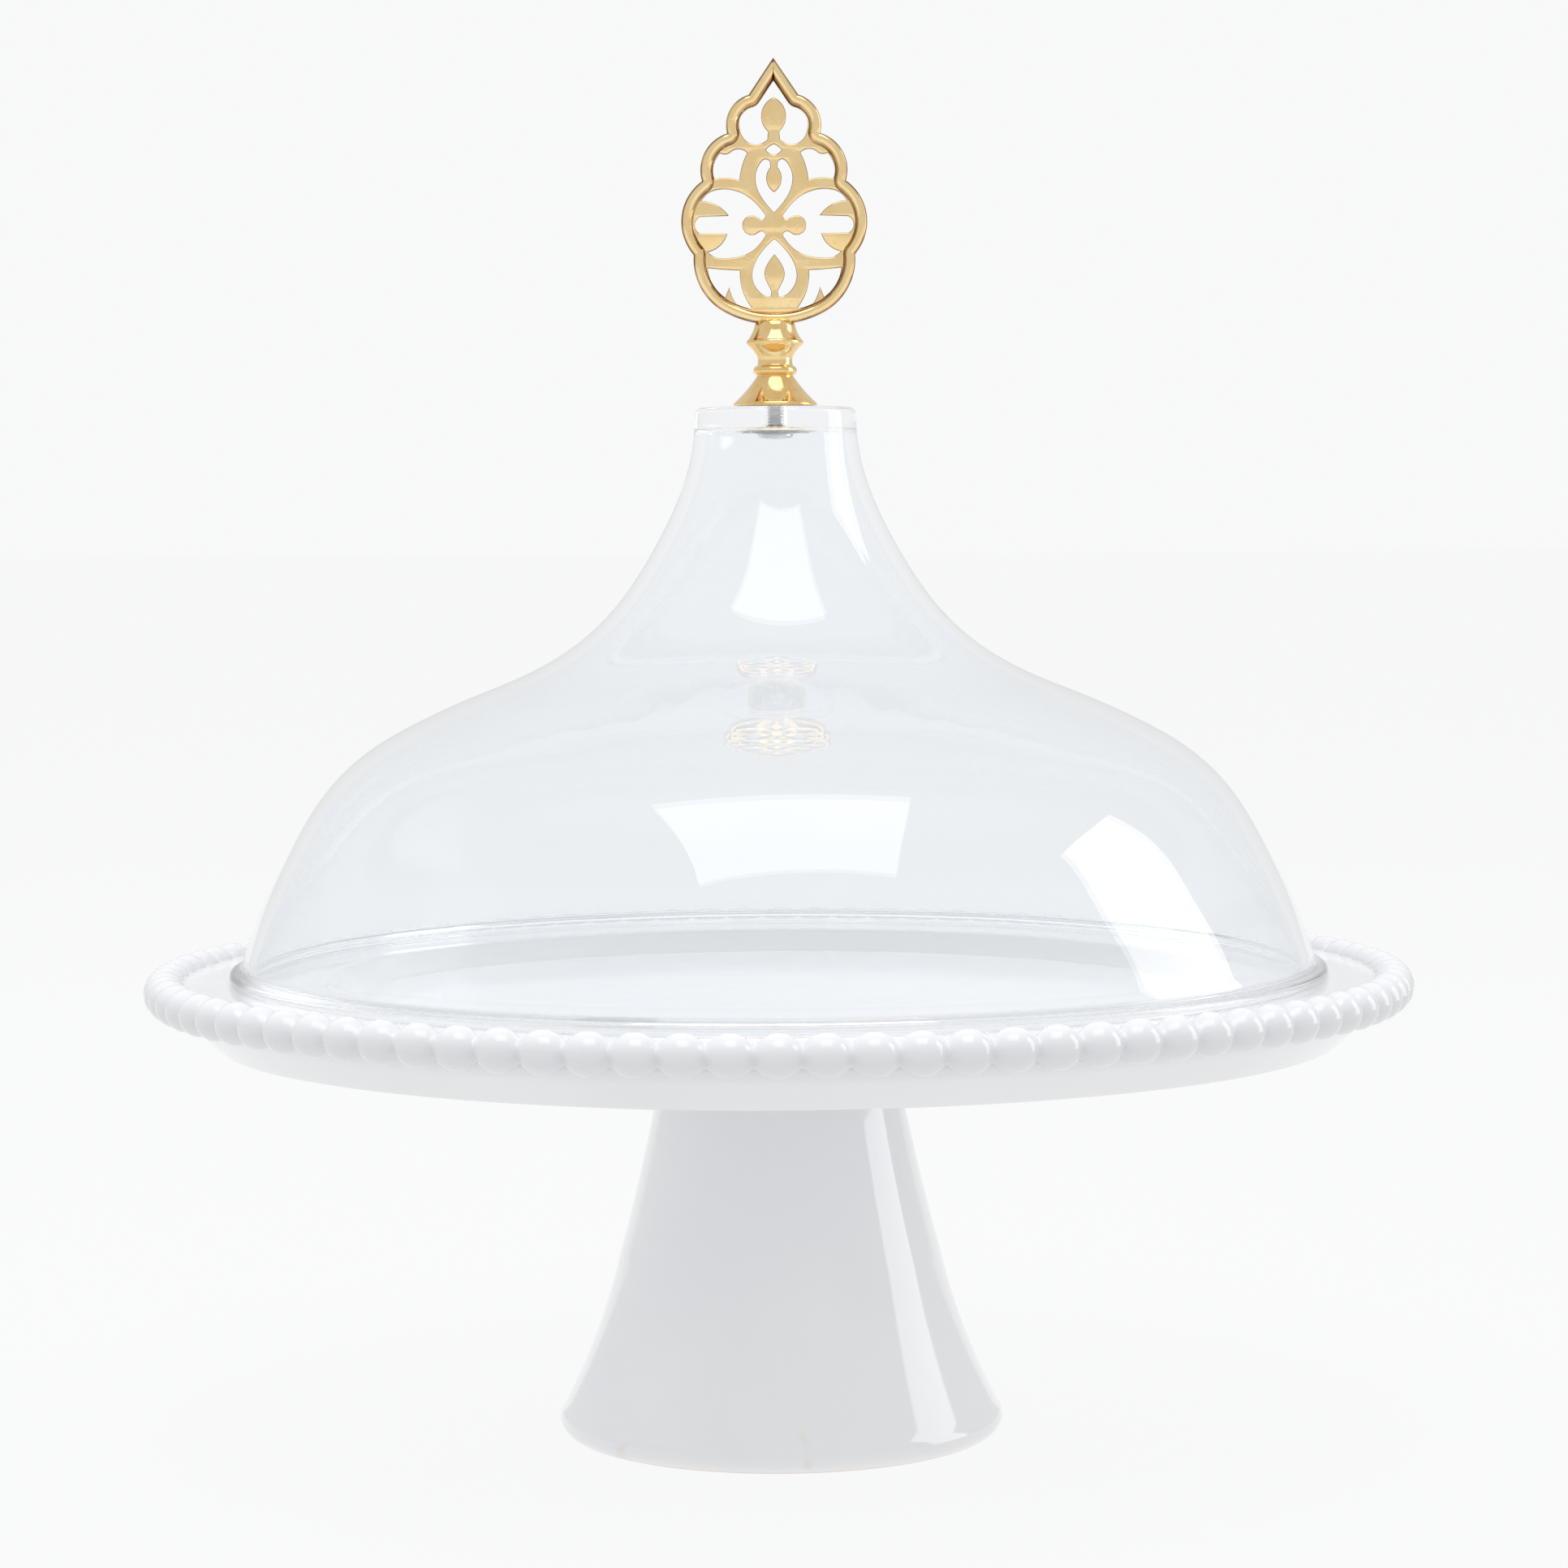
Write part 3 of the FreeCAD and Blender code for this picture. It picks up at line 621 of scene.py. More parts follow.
def dome_profile():
    """The dome's section: out under the foot ring, up the outside, in over the cap, and down the inside."""
    bell_low = seat + ring_thickness + ring_cove
    bell_high = cap_top - cap_round
    shares = np.array(BELL)
    outer = np.stack(
        [cap_radius + shares[:, 0] * (dome_radius - cap_radius), bell_low + shares[:, 1] * (bell_high - bell_low)],
        axis=-1,
    )
    outer = free_curve(outer, 100)
    inner = parallel(outer, dome_wall)
    inner = inner[inner[:, 1] < cap_under - cap_round - 1.0]
    neck = inner[0][0] - 0.3
    foot = inner[-1][0]
    ring_round = ring_thickness / 2
    return clean(np.vstack([
        bend((foot, seat + 0.5), (foot + 0.5, seat), QUARTER, 4),
        bend((ring_radius - ring_round, seat), (ring_radius - ring_round, seat + ring_thickness), 1.0, 14),
        bend((dome_radius + ring_cove, seat + ring_thickness), (dome_radius, bell_low), -QUARTER, 9),
        outer[::-1],
        bend((cap_radius, bell_high), (cap_radius - cap_round, cap_top), QUARTER, 9),
        bend((cap_hole + 0.3, cap_top), (cap_hole, cap_top - 0.3), QUARTER, 3),
        bend((cap_hole, cap_under + 0.3), (cap_hole + 0.3, cap_under), QUARTER, 3),
        bend((neck - cap_round, cap_under), (neck, cap_under - cap_round), -QUARTER, 8),
        inner,
    ]))


true_bell = turned(divided(dome_profile(), 2.2), 288)
dome_grid = wandering(true_bell, 0.09, 11, (1, 2, 3, 5, 7), (12, 30), seat + 4.5, cap_under - 4.5)
dome = piece("dome", dome_grid, loop_rows=True)
dress(dome, glass, "dome", "clear_glass", "dome")

# %% [markdown]
# ## Gaskets
#
# Metal is never tightened straight onto glass. A thin clear ring lies on each side of the cap: soft plastic with
# a slightly frosted face. They are turned rings with rounded edges, a hair clear of the glass, because two
# surfaces of glass and plastic in exactly the same place would fight for the same light.


# %% Gaskets
def gasket_finish():
    """Soft clear plastic, lightly frosted."""
    plastic = Finish("clear_gasket", ior=1.42, transmission_weight=0.9, roughness=0.25)
    haze = plastic.noise(420.0, 2.0)
    plastic.use("Base Color", plastic.mix(haze, (0.86, 0.88, 0.89), (0.93, 0.94, 0.95)))
    plastic.use("Roughness", plastic.range(haze, 0.3, 0.7, 0.18, 0.34))
    return plastic


def ring_profile(inner, outer, low, high, edge):
    """A rectangle between two radii and two heights, with its corners rounded."""
    return rounded([(inner, low, edge), (outer, low, edge), (outer, high, edge), (inner, high, edge)], 5)


HAIR = 0.02
gasket_plastic = gasket_finish()
for name in ("outer_gasket", "inner_gasket"):
    low, high = extent(name)
    section = ring_profile(cap_hole, high[0], low[2] + HAIR, high[2] - HAIR, 0.12)
    gasket = piece(name, turned(divided(section, 0.8), 96), loop_rows=True)
    dress(gasket, gasket_plastic, "dome", "clear_gasket", name)

# %% [markdown]
# ## The screw and its washer
#
# A machine screw with a thin head holds the finial. Its thread shows through the cap, so it is cut for real: the
# radius of the shank falls and rises once in each pitch, and the phase advances with the angle, which is what
# makes a helix. The recess in the head is two crossed slots pushed into the head's face.


# %% Nickel finish
def nickel_finish():
    """Bright nickel plate with fine turning marks in circles round the screw's axis."""
    nickel = Finish("nickel_plate", metallic=1.0, roughness=0.2)
    wear = nickel.range(nickel.noise(300.0, 3.0), 0.4, 0.7)
    nickel.use("Base Color", nickel.mix(wear, (0.62, 0.62, 0.63), (0.80, 0.79, 0.77)))
    x, y = nickel.axis("X"), nickel.axis("Y")
    radius = (x * x + y * y) ** 0.5
    turning = (radius * 26000.0).maths("SINE")
    nickel.use("Roughness", wear * 0.12 + 0.14)
    nickel.bump(turning, 0.000004, 0.5)
    return nickel


nickel = nickel_finish()

# %% Washer and screw
washer_section = ring_profile(cap_hole, washer_high[0], washer_low[2] + HAIR, washer_high[2] - HAIR, 0.15)
washer = piece("screw_washer", turned(divided(washer_section, 0.8), 96), loop_rows=True)
dress(washer, nickel, "finial", "plated_steel", "screw_washer")

THREAD_PITCH = 0.7
THREAD_DEPTH = 0.36
SLOT_HALF, SLOT_REACH, SLOT_WALL, SLOT_DEPTH = 0.45, 2.2, 0.12, 0.9
screw_radius = 2.0
head_radius = screw_high[0]
head_top = washer_low[2]
head_low = screw_low[2]


def screw_grid(columns=96):
    """Rows of radius and height from the head's pole up to the tip, with thread and recess worked in.

    Thread: r falls by depth * |2 fract(z / pitch - t / 2 pi) - 1|. Recess: rows of the head's face are lifted
    by its depth inside either of two crossed slots, with walls as steep as the grid allows.
    """
    face = np.stack([np.linspace(0, head_radius * 0.92, 30), np.full(30, head_low)], axis=-1)
    face[:, 1] += 0.5 * (face[:, 0] / head_radius) ** 3
    side = bend(face[-1], (head_radius, head_top - 0.35), 0.25, 6)[1:]
    under = np.array([[head_radius, head_top - HAIR], [screw_radius + 0.1, head_top - HAIR]])
    shank_z = np.arange(head_top, screw_high[2] - 0.4, THREAD_PITCH / 9)
    shank = np.stack([np.full_like(shank_z, screw_radius), shank_z], axis=-1)
    tip = np.array([[screw_radius * 0.7, screw_high[2]], [0.0, screw_high[2]]])
    profile = np.vstack([face, side, under, shank, tip])
    grid = turned(profile, columns)
    x, y, z = np.moveaxis(grid, -1, 0)
    t = np.arctan2(y, x)
    threaded = np.zeros(len(profile), bool)
    threaded[-len(shank) - 2:-2] = True
    groove = THREAD_DEPTH * np.abs(2 * ((z / THREAD_PITCH - t / (2 * np.pi)) % 1) - 1)
    r = np.where(threaded[:, None], screw_radius - groove, np.hypot(x, y))
    narrow_x, narrow_y = (np.clip((SLOT_HALF - np.abs(v)) / SLOT_WALL, 0, 1) for v in (x, y))
    long_x, long_y = (np.clip((SLOT_REACH - np.abs(v)) / SLOT_WALL, 0, 1) for v in (x, y))
    on_face = (np.arange(len(profile)) < len(face))[:, None]
    z = z + np.where(on_face, SLOT_DEPTH * np.maximum(narrow_x * long_y, narrow_y * long_x), 0)
    return np.stack([r * np.cos(t), r * np.sin(t), z], axis=-1)


screw = piece("fixing_screw", screw_grid())
dress(screw, nickel, "finial", "plated_steel", "fixing_screw")

# %% [markdown]
# ## Gold plate
#
# The finial is cast in brass alloy, polished and gold plated. Two finishes share the gold. The turned stem is fully
# polished, so it shows deep yellow and sharp reflections. The openwork is harder to reach with a mop, so its faces
# keep a softer sheen, some fine casting pits and polishing marks. Its edges and slopes are painted brown, as a
# painted dark reflection of the room. Which way the surface faces tells a face from an edge.


# %% Gold finishes
# A brown painted on the crest's edges as a painted dark reflection.
EDGE_PAINTED_REFLECTION = (0.20, 0.075, 0.02)


def gold_finish(name, pale, deep, polish, pits):
    """Gold whose tone, gloss and surface vary over a few millimetres: polish is its lowest roughness."""
    gold = Finish(name, metallic=1.0, roughness=polish)
    cloud = gold.range(gold.noise(160.0, 4.0, 0.6), 0.35, 0.7)
    tone = gold.mix(cloud, pale, deep)
    scratches = gold.noise(900.0, 3.0, 0.6, gold.stretched(1.0, 1.0, 0.18))
    gold.use("Roughness", gold.range(scratches, 0.4, 0.75, polish, polish + 0.10))
    pit = gold.range(gold.noise(650.0, 2.0), 0.62, 0.72, 0.0, 1.0)
    gold.bump(scratches * 0.25 - pit * pits, 0.00005, 0.4)
    return gold, tone


def with_painted_edge_reflection(gold, tone, brown):
    """Paints a dark reflection on the edges in brown: its share grows as the surface turns away from the crest's
    flat faces.
    """
    turned_away = gold.range(gold.facing("Y"), 0.55, 0.95, 1.0, 0.0)
    patchy = gold.range(gold.noise(120.0, 2.0), 0.35, 0.6, 0.5, 1.0)
    return gold.mix(turned_away * patchy, tone, brown)


stem_gold, stem_tone = gold_finish("stem_gold", (0.95, 0.70, 0.34), (0.84, 0.55, 0.21), 0.06, 0.2)
stem_gold.use("Base Color", stem_tone)
crest_gold, crest_tone = gold_finish("crest_gold", (1.0, 0.77, 0.41), (0.98, 0.71, 0.34), 0.10, 0.9)
# painted reflection: the crest's edges and slopes are painted brown, as a dark room mirrored in them
crest_gold.use("Base Color", with_painted_edge_reflection(crest_gold, crest_tone, EDGE_PAINTED_REFLECTION))

# %% [markdown]
# ## The stem
#
# A turned stem is the simplest case of a profile carried round an axis: a cone that sits on the cap, a small
# ring, a throat, a knob with a crisp edge, and a domed collar that grips the crest.

# %% Stem
base_radius = 9.9
stem_base = stem_low[2]
stem_top = stem_high[2]
cone_top = stem_base + 7.0
ring_height = 2.8
throat_low = cone_top + ring_height
throat_high = throat_low + 1.7
knob_edge = throat_high + 3.5


def stem_profile():
    """The stem's section, from the axis at its base up to the axis at its top."""
    return clean(np.vstack([
        [[0.0, stem_base]],
        bend((base_radius - 0.3, stem_base), (base_radius, stem_base + 0.3), QUARTER, 5),
        bend((base_radius - 0.05, stem_base + 0.6), (4.4, cone_top - 0.15), -0.06, 20),
        bend((4.4, cone_top - 0.1), (4.3, cone_top + 0.15), -0.3, 4),
        bend((4.35, cone_top + 0.2), (4.35, throat_low - 0.35), 0.72, 16),
        bend((4.2, throat_low - 0.2), (4.15, throat_high), -0.12, 8),
        bend((4.2, throat_high + 0.1), (6.4, knob_edge - 0.7), -0.1, 12),
        bend((6.45, knob_edge - 0.62), (6.4, knob_edge + 0.55), 0.55, 9),
        bend((6.3, knob_edge + 0.65), (4.75, stem_top - 1.5), -0.1, 14),
        bend((4.7, stem_top - 1.4), (2.4, stem_top), 0.36, 10),
        [[0.0, stem_top]],
    ]))


stem = piece("finial_stem", turned(stem_profile(), 160))
dress(stem, stem_gold, "finial", "gold_plate", "finial_stem")

# %% [markdown]
# ## The crest's drawing
#
# The crest is a flat openwork leaf. Its drawing is symmetrical, so only the right half is given, as runs between
# the points where the outline turns a corner: two points are a straight edge, three an arc, more a free curve.
# The windows follow in the same way. The drawing is scaled to the casting's size.

# %% Crest drawing
DRAWN_WIDTH = 44.2
DRAWN_HEIGHT = 63.3
RIM = [
    [(0, 0), (6.2, 0.7), (11.8, 2.9)],
    [(11.8, 2.9), (17.4, 8.4), (19.2, 16.6)],
    [(19.2, 16.6), (22.1, 24.9), (17.1, 34.1)],
    [(17.1, 34.1), (16.4, 41.0), (11.05, 45.4)],
    [(11.05, 45.4), (10.35, 51.0), (5.9, 54.5)],
    [(5.9, 54.5), (0, 63.3)],
]
TOP_WINDOW = [
    [(0, 53.9), (2.9, 48.8), (1.35, 45.9)],
    [(1.35, 45.9), (1.5, 43.9)],
    [(1.5, 43.9), (3.7, 42.75), (6.4, 43.5), (8.15, 47.2), (7.0, 51.2), (4.5, 52.6)],
    [(4.5, 52.6), (0, 59.4)],
]
DIAMOND = [[(0, 40.2), (1.1, 40.7), (1.9, 41.5)], [(1.9, 41.5), (1.1, 42.3), (0, 42.9)]]
UPPER_DROP = [
    [(0, 31.5), (1.8, 35.2), (0.8, 37.4)],
    [(0.8, 37.4), (1.0, 38.9)],
    [(1.0, 38.9), (1.9, 39.3), (3.6, 37.8), (4.4, 34.6), (3.4, 31.0), (0, 26.6)],
]
LOWER_DROP = [
    [(0, 20.4), (3.0, 17.3), (4.9, 13.9), (5.1, 10.3), (3.8, 8.0), (1.6, 6.6), (1.0, 6.6)],
    [(1.0, 6.6), (0.75, 7.8)],
    [(0.75, 7.8), (1.4, 9.2), (2.4, 11.8), (1.6, 14.5), (0, 16.7)],
]
SHOULDER_WINDOW = [
    [(6.3, 40.8), (7.4, 38.3), (8.2, 34.3)],
    [(8.2, 34.3), (11.4, 34.9), (14.5, 34.5)],
    [(14.5, 34.5), (14.4, 37.6), (12.8, 40.8)],
    [(12.8, 40.8), (11.4, 40.5), (10.3, 41.0)],
    [(10.3, 41.0), (8.1, 41.7), (6.3, 40.8)],
]
WING_WINDOW = [
    [(2.1, 26.1), (4.3, 28.8), (8.0, 31.4), (12.3, 32.2), (15.8, 31.2), (17.4, 29.4)],
    [(17.4, 29.4), (13.6, 28.4), (10.8, 25.9)],
    [(10.8, 25.9), (17.6, 25.7)],
    [(17.6, 25.7), (18.9, 23.7), (17.6, 21.7)],
    [(17.6, 21.7), (11.2, 21.6)],
    [(11.2, 21.6), (12.6, 19.1), (15.9, 17.3)],
    [(15.9, 17.3), (14.2, 16.1), (10.9, 15.8), (7.2, 16.5), (4.4, 18.2), (2.1, 21.0)],
    [(2.1, 21.0), (2.6, 22.1), (3.6, 22.0)],
    [(3.6, 22.0), (7.65, 23.6), (3.6, 25.2)],
    [(3.6, 25.2), (2.6, 25.0), (2.1, 26.1)],
]
FOOT_WINDOW = [
    [(8.2, 12.9), (12.0, 13.1), (15.9, 13.5)],
    [(15.9, 13.5), (14.6, 9.3), (11.9, 6.0)],
    [(11.9, 6.0), (11.4, 7.4), (10.8, 8.9)],
    [(10.8, 8.9), (10.2, 6.9), (9.2, 4.9)],
    [(9.2, 4.9), (7.5, 4.1), (5.4, 3.9)],
    [(5.4, 3.9), (7.5, 7.6), (8.2, 12.9)],
]
crest_bottom = crest_low[2]
scale = np.array([crest_high[0] / (DRAWN_WIDTH / 2), (crest_high[2] - crest_bottom) / DRAWN_HEIGHT])


def mirrored(runs):
    """The same runs on the other side of the middle line, in the order that closes the outline."""
    return [[(-across, up) for across, up in reversed(run)] for run in reversed(runs)]


def run_points(run, spacing):
    """Evenly spaced points along one run, in millimetres at the casting's size, without the run's last point."""
    p = np.array(run, float) * scale
    if len(p) == 2:
        count = max(2, int(np.linalg.norm(p[1] - p[0]) / spacing))
        return p[0] + (p[1] - p[0]) * np.linspace(0, 1, count, endpoint=False)[:, None]
    if len(p) == 3:
        chord, to_middle = p[2] - p[0], p[1] - p[0]
        side = to_middle[0] * chord[1] - to_middle[1] * chord[0]
        bow = math.atan2(abs(side), to_middle @ (p[2] - p[1]))
        bulge = math.copysign(math.tan(bow / 2), side)
        count = max(4, int(np.linalg.norm(chord) * 1.2 / spacing))
        return bend(p[0], p[2], bulge, count)[:-1]
    count = max(8, int(np.linalg.norm(np.diff(p, axis=0), axis=1).sum() / spacing))
    return free_curve(p, count)[:-1]


print(f"the drawing is scaled by {scale[0]:.4f} across and {scale[1]:.4f} upwards")

# %% [markdown]
# ## The crest's frame
#
# Round the openwork runs a raised frame: a soft outer edge, a flat strip, and a slope down to the openwork, the
# same behind as in front. It is one section carried along the outline. At a point that stands out, the section
# is mitred, and where two lobes meet in a notch it swings round the notch like the spokes of a fan.

# %% Crest frame
FRAME_SECTION = np.array([
    (0.0, 0.0), (0.0, 1.2), (0.12, 1.6), (0.36, 1.95), (0.75, 2.15), (1.25, 2.2), (1.75, 2.16), (1.98, 2.06),
    (2.25, 1.8), (2.6, 1.42), (2.82, 1.2), (2.95, 0.95), (3.0, 0.0),
])
FRAME_SECTION[:, 1] *= crest_high[1] / FRAME_SECTION[:, 1].max()
SHARP = 0.08


def outline_with_normals(runs, spacing=0.3, fan=9):
    """Points of a closed outline, and for each the inward direction and how far a mitre stretches it."""
    places, inwards, stretches = [], [], []
    parts = [run_points(run, spacing) for run in runs]
    ends = [parts[(i + 1) % len(parts)][:1] for i in range(len(parts))]
    for part, end in zip(parts, ends):
        line = np.vstack([part, end])
        slope = np.gradient(line, axis=0)
        slope /= np.linalg.norm(slope, axis=1)[:, None]
        inward = np.stack([-slope[:, 1], slope[:, 0]], axis=-1)
        if inwards:
            corner(places, inwards, stretches, line[0], inwards[-1][-1], inward[0], fan)
        places.append(line[1:])
        inwards.append(inward[1:])
        stretches.append(np.ones(len(line) - 1))
    return np.vstack(places), np.vstack(inwards), np.concatenate(stretches)


def corner(places, inwards, stretches, place, before, after, fan):
    """Turns the section at a corner: by a fan round a notch, or by a mitre at a point that stands out."""
    turn = math.atan2(before[0] * after[1] - before[1] * after[0], before @ after)
    if turn < -SHARP:
        angle = math.atan2(before[1], before[0]) + np.linspace(0, turn, fan)[1:]
        places.append(np.tile(place, (fan - 1, 1)))
        inwards.append(np.stack([np.cos(angle), np.sin(angle)], axis=-1))
        stretches.append(np.ones(fan - 1))
    elif turn > SHARP:
        middle = before + after
        middle /= np.linalg.norm(middle)
        places[-1], inwards[-1], stretches[-1] = places[-1][:-1], inwards[-1][:-1], stretches[-1][:-1]
        places.append(place[None])
        inwards.append(middle[None])
        stretches.append(np.array([1 / math.cos(turn / 2)]))


def standing(flat, depth):
    """Flat drawing coordinates and a depth, as points in the frame: across is X, up is Z, depth is Y."""
    return np.stack([flat[..., 0], depth, flat[..., 1] + crest_bottom], axis=-1)


def frame_grid():
    """The section swept along the outline: out = place + inset * stretch * inward, on both faces."""
    back = FRAME_SECTION[::-1][1:-1] * (1, -1)
    section = np.vstack([FRAME_SECTION, back])
    place, inward, stretch = outline_with_normals(RIM + mirrored(RIM))
    inset = section[None, :, :1] * stretch[:, None, None]
    flat = place[:, None] + inset * inward[:, None]
    flat[..., 0] = np.where(place[:, :1] > 0, np.maximum(flat[..., 0], 0), np.minimum(flat[..., 0], 0))
    depth = np.broadcast_to(section[None, :, 1], flat.shape[:2])
    return standing(flat, depth)


crest_frame = piece("crest_frame", frame_grid(), loop_rows=True)
dress(crest_frame, crest_gold, "finial", "gold_plate", "finial_crest")

# %% [markdown]
# ## The openwork
#
# A sheet with windows isn't a grid, so the openwork is made another way: as a filled flat curve, whose splines
# are the edge and the windows, with a thickness and a soft bevel. Blender fills what lies between the splines.
# It is turned into a mesh before it is stood upright, so that its place is in its vertices.

# %% Openwork
LATTICE_HALF = 1.15
LATTICE_BEVEL = 0.32
LATTICE_EDGE = 1.3


def closed_outline(runs, spacing=0.35):
    """All the points of a window's runs, in order."""
    return np.vstack([run_points(run, spacing) for run in runs])


def openwork_outlines():
    """The openwork's edge, a little inside the frame's, and every window."""
    place, inward, stretch = outline_with_normals(RIM + mirrored(RIM))
    edge = place + LATTICE_EDGE * (stretch[:, None] * inward)
    own_side = (edge[:, 0] * place[:, 0] > 0) | (np.abs(place[:, 0]) < SMALLEST)
    outlines = [edge[own_side]]
    for runs in (TOP_WINDOW, DIAMOND, UPPER_DROP, LOWER_DROP):
        outlines.append(closed_outline(runs + mirrored(runs)))
    for runs in (SHOULDER_WINDOW, WING_WINDOW, FOOT_WINDOW):
        outlines.append(closed_outline(runs))
        outlines.append(closed_outline(mirrored(runs)))
    return outlines


def flat_drawing(name, outlines, half, bevel):
    """A flat curve with an outline for each spline, filled between them, half above its plane and half below."""
    curve = bpy.data.curves.new(name, "CURVE")
    curve.dimensions = "2D"
    curve.fill_mode = "BOTH"
    curve.extrude = (half - bevel) * MM
    curve.bevel_depth = bevel * MM
    curve.bevel_resolution = 3
    curve.offset = -bevel * MM
    for outline in outlines:
        spline = curve.splines.new("POLY")
        spline.points.add(len(outline) - 1)
        flat = np.hstack([outline * MM, np.zeros((len(outline), 1)), np.ones((len(outline), 1))])
        spline.points.foreach_set("co", flat.ravel())
        spline.use_cyclic_u = True
    return curve


def filled(name, outlines, half, bevel):
    """The drawing as a mesh that stands upright in the crest's plane: x = across, y = -depth, z = up."""
    curve = flat_drawing(name, outlines, half, bevel)
    drawn = placed(name + "_drawing", curve)
    bpy.context.view_layer.update()
    mesh = bpy.data.meshes.new_from_object(drawn.evaluated_get(bpy.context.evaluated_depsgraph_get()))
    bpy.data.objects.remove(drawn)
    bpy.data.curves.remove(curve)
    points = np.empty(len(mesh.vertices) * 3)
    mesh.vertices.foreach_get("co", points)
    across, up, depth = points.reshape(-1, 3).T
    upright = np.stack([across, -depth, up + crest_bottom * MM], axis=-1)
    mesh.vertices.foreach_set("co", upright.ravel())
    weld(mesh)
    mesh.name = name
    print(f"{name}: {len(mesh.vertices)} vertices, {len(mesh.polygons)} faces")
    return placed(name, mesh)


def weld(mesh, gap=0.002 * MM):
    """Joins vertices that share a place, so that faces and bevels are one skin, smooth but for its edges."""
    bm = bmesh.new()
    bm.from_mesh(mesh)
    bmesh.ops.remove_doubles(bm, verts=bm.verts, dist=gap)
    bmesh.ops.recalc_face_normals(bm, faces=bm.faces)
    bm.to_mesh(mesh)
    bm.free()
    mesh.shade_smooth()
    mesh.set_sharp_from_angle(angle=math.radians(35))


openwork = filled("crest_openwork", openwork_outlines(), LATTICE_HALF, LATTICE_BEVEL)
dress(openwork, crest_gold, "finial", "gold_plate", "finial_crest")

# %% [markdown]
# ## The studio
#
# The set stands on a white sweep. The floor glows, as an overexposed sweep does, and meets a backdrop of the same
# white. One wide soft box hangs above and in front, and a tall one stands to the right: these are what the glass
# and the glaze mirror. A third, over the set, casts no shadow and isn't mirrored. It stands for the light that
# a white room throws down into the well. The room behind the camera is dimmer, and so is the room as a polished
# surface mirrors it: a clear outline on glass, and depth on gold, need something darker to reflect.


# %% Floor
PAPER_WHITE = (0.993, 0.996, 1.0, 1.0)
PAPER_GLOW = 0.893
FLOOR_SIDE = 30.0
FLOOR_GAP = 0.0002


def make_floor():
    """A pale floor whose own glow does most of the work, with a little diffuse light to take a soft shadow."""
    corners = [(x * FLOOR_SIDE, y * FLOOR_SIDE, 0) for x, y in ((-1, -1), (1, -1), (1, 1), (-1, 1))]
    mesh = bpy.data.meshes.new("floor")
    mesh.from_pydata(corners, [], [(0, 1, 2, 3)])
    floor = placed("floor", mesh)
    paper = Finish("sweep_paper", base_color=(0.05, 0.05, 0.05, 1.0), roughness=1.0, emission_strength=PAPER_GLOW)
    paper.shader.inputs["Specular IOR Level"].default_value = 0.0
    paper.shader.inputs["Emission Color"].default_value = PAPER_WHITE
    mesh.materials.append(paper.material)
    floor.location.z = -FLOOR_GAP
    return floor


floor = make_floor()


# %% Room light
ROOM_FRONT, ROOM_BACK = 0.74, 0.94
ROOM_MIRRORED = 0.72
ROOM_SEEN = 0.947


def make_room():
    """A room whose light depends on direction, from its front to its back, and on who looks at it.

    The camera sees one even white, and a mirrored ray one even and dimmer white.
    """
    world = bpy.data.worlds.new("studio")
    bpy.context.scene.world = world
    world.use_nodes = True
    nodes, links = world.node_tree.nodes, world.node_tree.links
    background = nodes["Background"]
    background.inputs["Color"].default_value = PAPER_WHITE
    place = nodes.new("ShaderNodeTexCoord")
    split = nodes.new("ShaderNodeSeparateXYZ")
    depth = nodes.new("ShaderNodeMapRange")
    depth.interpolation_type = "SMOOTHSTEP"
    ends = {"From Min": -0.75, "From Max": 0.35, "To Min": ROOM_FRONT, "To Max": ROOM_BACK}
    for key, value in ends.items():
        depth.inputs[key].default_value = value
    path = nodes.new("ShaderNodeLightPath")
    both = nodes.new("ShaderNodeMath")
    both.operation = "MULTIPLY"
    in_mirror = nodes.new("ShaderNodeMix")
    in_mirror.inputs[3].default_value = ROOM_MIRRORED
    to_camera = nodes.new("ShaderNodeMix")
    to_camera.inputs[3].default_value = ROOM_SEEN
    links.new(place.outputs["Generated"], split.inputs[0])
    links.new(split.outputs["Y"], depth.inputs["Value"])
    links.new(path.outputs["Is Glossy Ray"], both.inputs[0])
    links.new(path.outputs["Is Reflection Ray"], both.inputs[1])
    links.new(both.outputs[0], in_mirror.inputs[0])
    links.new(depth.outputs["Result"], in_mirror.inputs[2])
    links.new(path.outputs["Is Camera Ray"], to_camera.inputs[0])
    links.new(in_mirror.outputs[0], to_camera.inputs[2])
    links.new(to_camera.outputs[0], background.inputs["Strength"])
    print(f"room: {ROOM_FRONT} in front, {ROOM_BACK} behind, {ROOM_MIRRORED} in a mirror")


make_room()


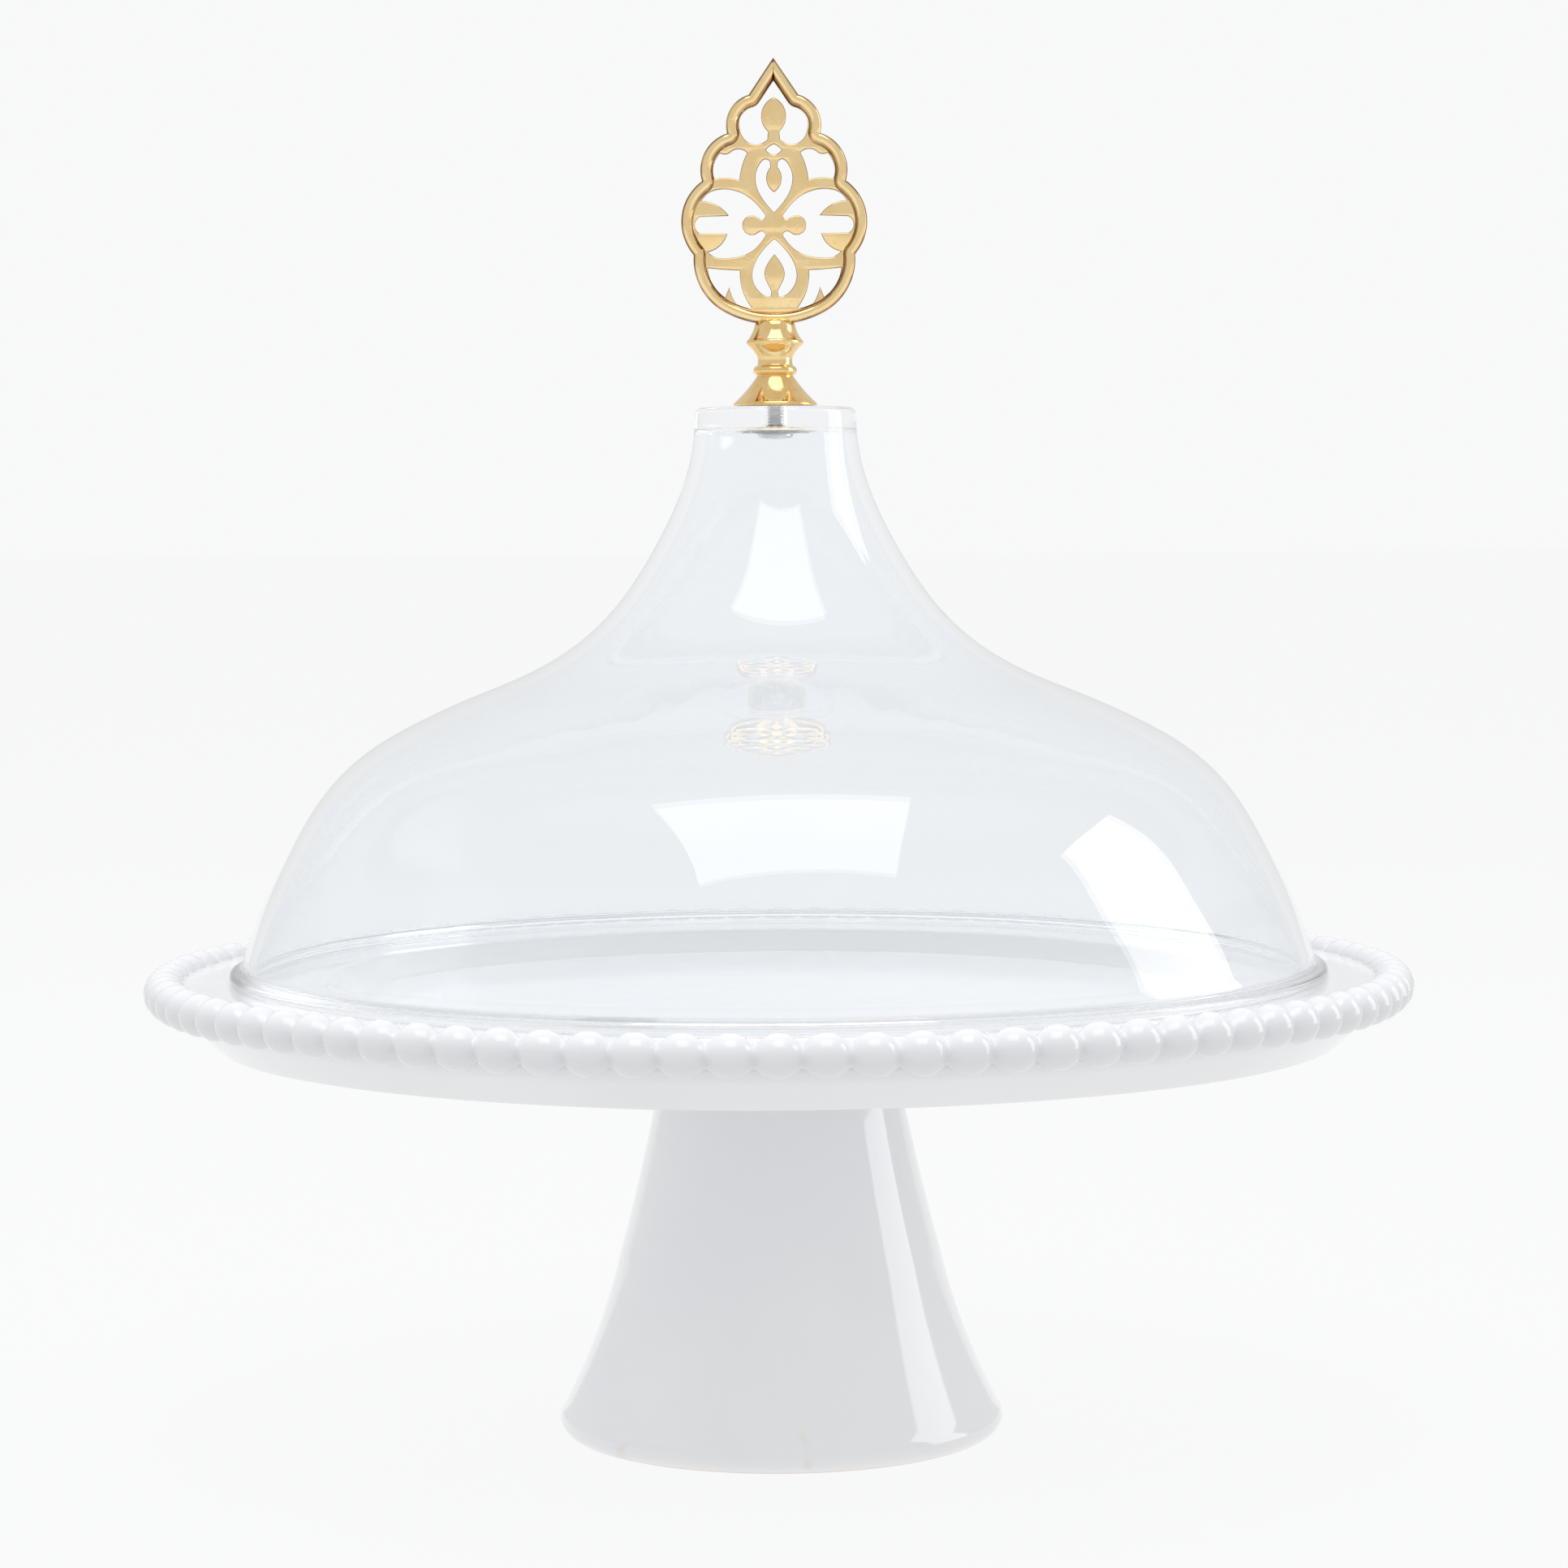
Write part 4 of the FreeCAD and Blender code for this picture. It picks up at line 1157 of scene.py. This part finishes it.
# %% Soft boxes
def soft_box(name, place, target, width, height, radiance):
    """A rectangular light that faces a target. Its power is its radiance times its area times pi."""
    light = bpy.data.lights.new(name, "AREA")
    light.shape = "RECTANGLE"
    light.size, light.size_y = width, height
    light.energy = radiance * width * height * math.pi
    light.color = (0.98, 0.99, 1.0)
    obj = placed(name, light)
    place, target = np.array(place, float), np.array(target, float)
    ahead = (place - target) / np.linalg.norm(place - target)
    side = np.cross((0, 0, 1), ahead)
    side /= np.linalg.norm(side)
    up = np.cross(ahead, side)
    turn = np.eye(4)
    turn[:3, 0], turn[:3, 1], turn[:3, 2], turn[:3, 3] = side, up, ahead, place
    obj.matrix_world = Matrix(turn.tolist())
    print(f"{name}: {width} x {height} m")
    return obj


soft_box("overhead_box", (0.04, -0.48, 1.25), (0.0, -0.12, 0.15), 0.86, 0.76, 1.55)
right_box = soft_box("right_box", (1.15, 0.1, 0.56), (0.0, 0.0, 0.56), 0.55, 1.1, 1.95)
right_box.visible_diffuse = False
ceiling = soft_box("ceiling", (-0.1, 0.2, 1.6), (0.0, 0.0, 0.15), 1.8, 1.8, 1.56)
ceiling.visible_glossy = False
ceiling.visible_transmission = False
ceiling.data.use_shadow = False

# %% [markdown]
# ## The camera
#
# A long lens stands a metre from the axis, a little above the plate, and looks slightly down. Colours are shown
# as they are, without a film curve, so that white porcelain stays white.

# %% Camera
CAMERA_DISTANCE = 1.0
CAMERA_HEIGHT = 0.2163
CAMERA_ASIDE = 0.0015
PITCH = math.radians(3.52)
ROLL = math.radians(-0.35)
SENSOR = 36.0
LENS = 96.7


def make_camera():
    """A camera on the -Y side that looks along +Y, tipped down by the pitch and rolled about its view."""
    data = bpy.data.cameras.new("camera")
    data.lens = LENS
    data.sensor_width = SENSOR
    camera = placed("camera", data)
    camera.location = (CAMERA_ASIDE, -CAMERA_DISTANCE, CAMERA_HEIGHT)
    camera.rotation_mode = "XYZ"
    look = Matrix.Rotation(math.pi / 2 - PITCH, 4, "X") @ Matrix.Rotation(ROLL, 4, "Z")
    camera.rotation_euler = look.to_euler("XYZ")
    bpy.context.scene.camera = camera
    return camera


camera = make_camera()
bpy.context.scene.view_settings.view_transform = "Standard"
print(f"camera: {LENS} mm lens, {CAMERA_HEIGHT} m above the floor")

# %% [markdown]
# ## Light inside the wall
#
# The dome's wall is a light pipe: what enters its foot ring can be mirrored up inside the wall many times before
# it finds a way out. A path that is given up too soon counts as black, and would draw a dark band round the foot
# that real glass doesn't have. So paths may bounce far more often than usual.

# %% Light paths
BOUNCES = 160
paths = bpy.context.scene.cycles
paths.max_bounces = paths.glossy_bounces = paths.transmission_bounces = BOUNCES
paths.min_light_bounces = 32
print("bounces in glass:", paths.transmission_bounces)
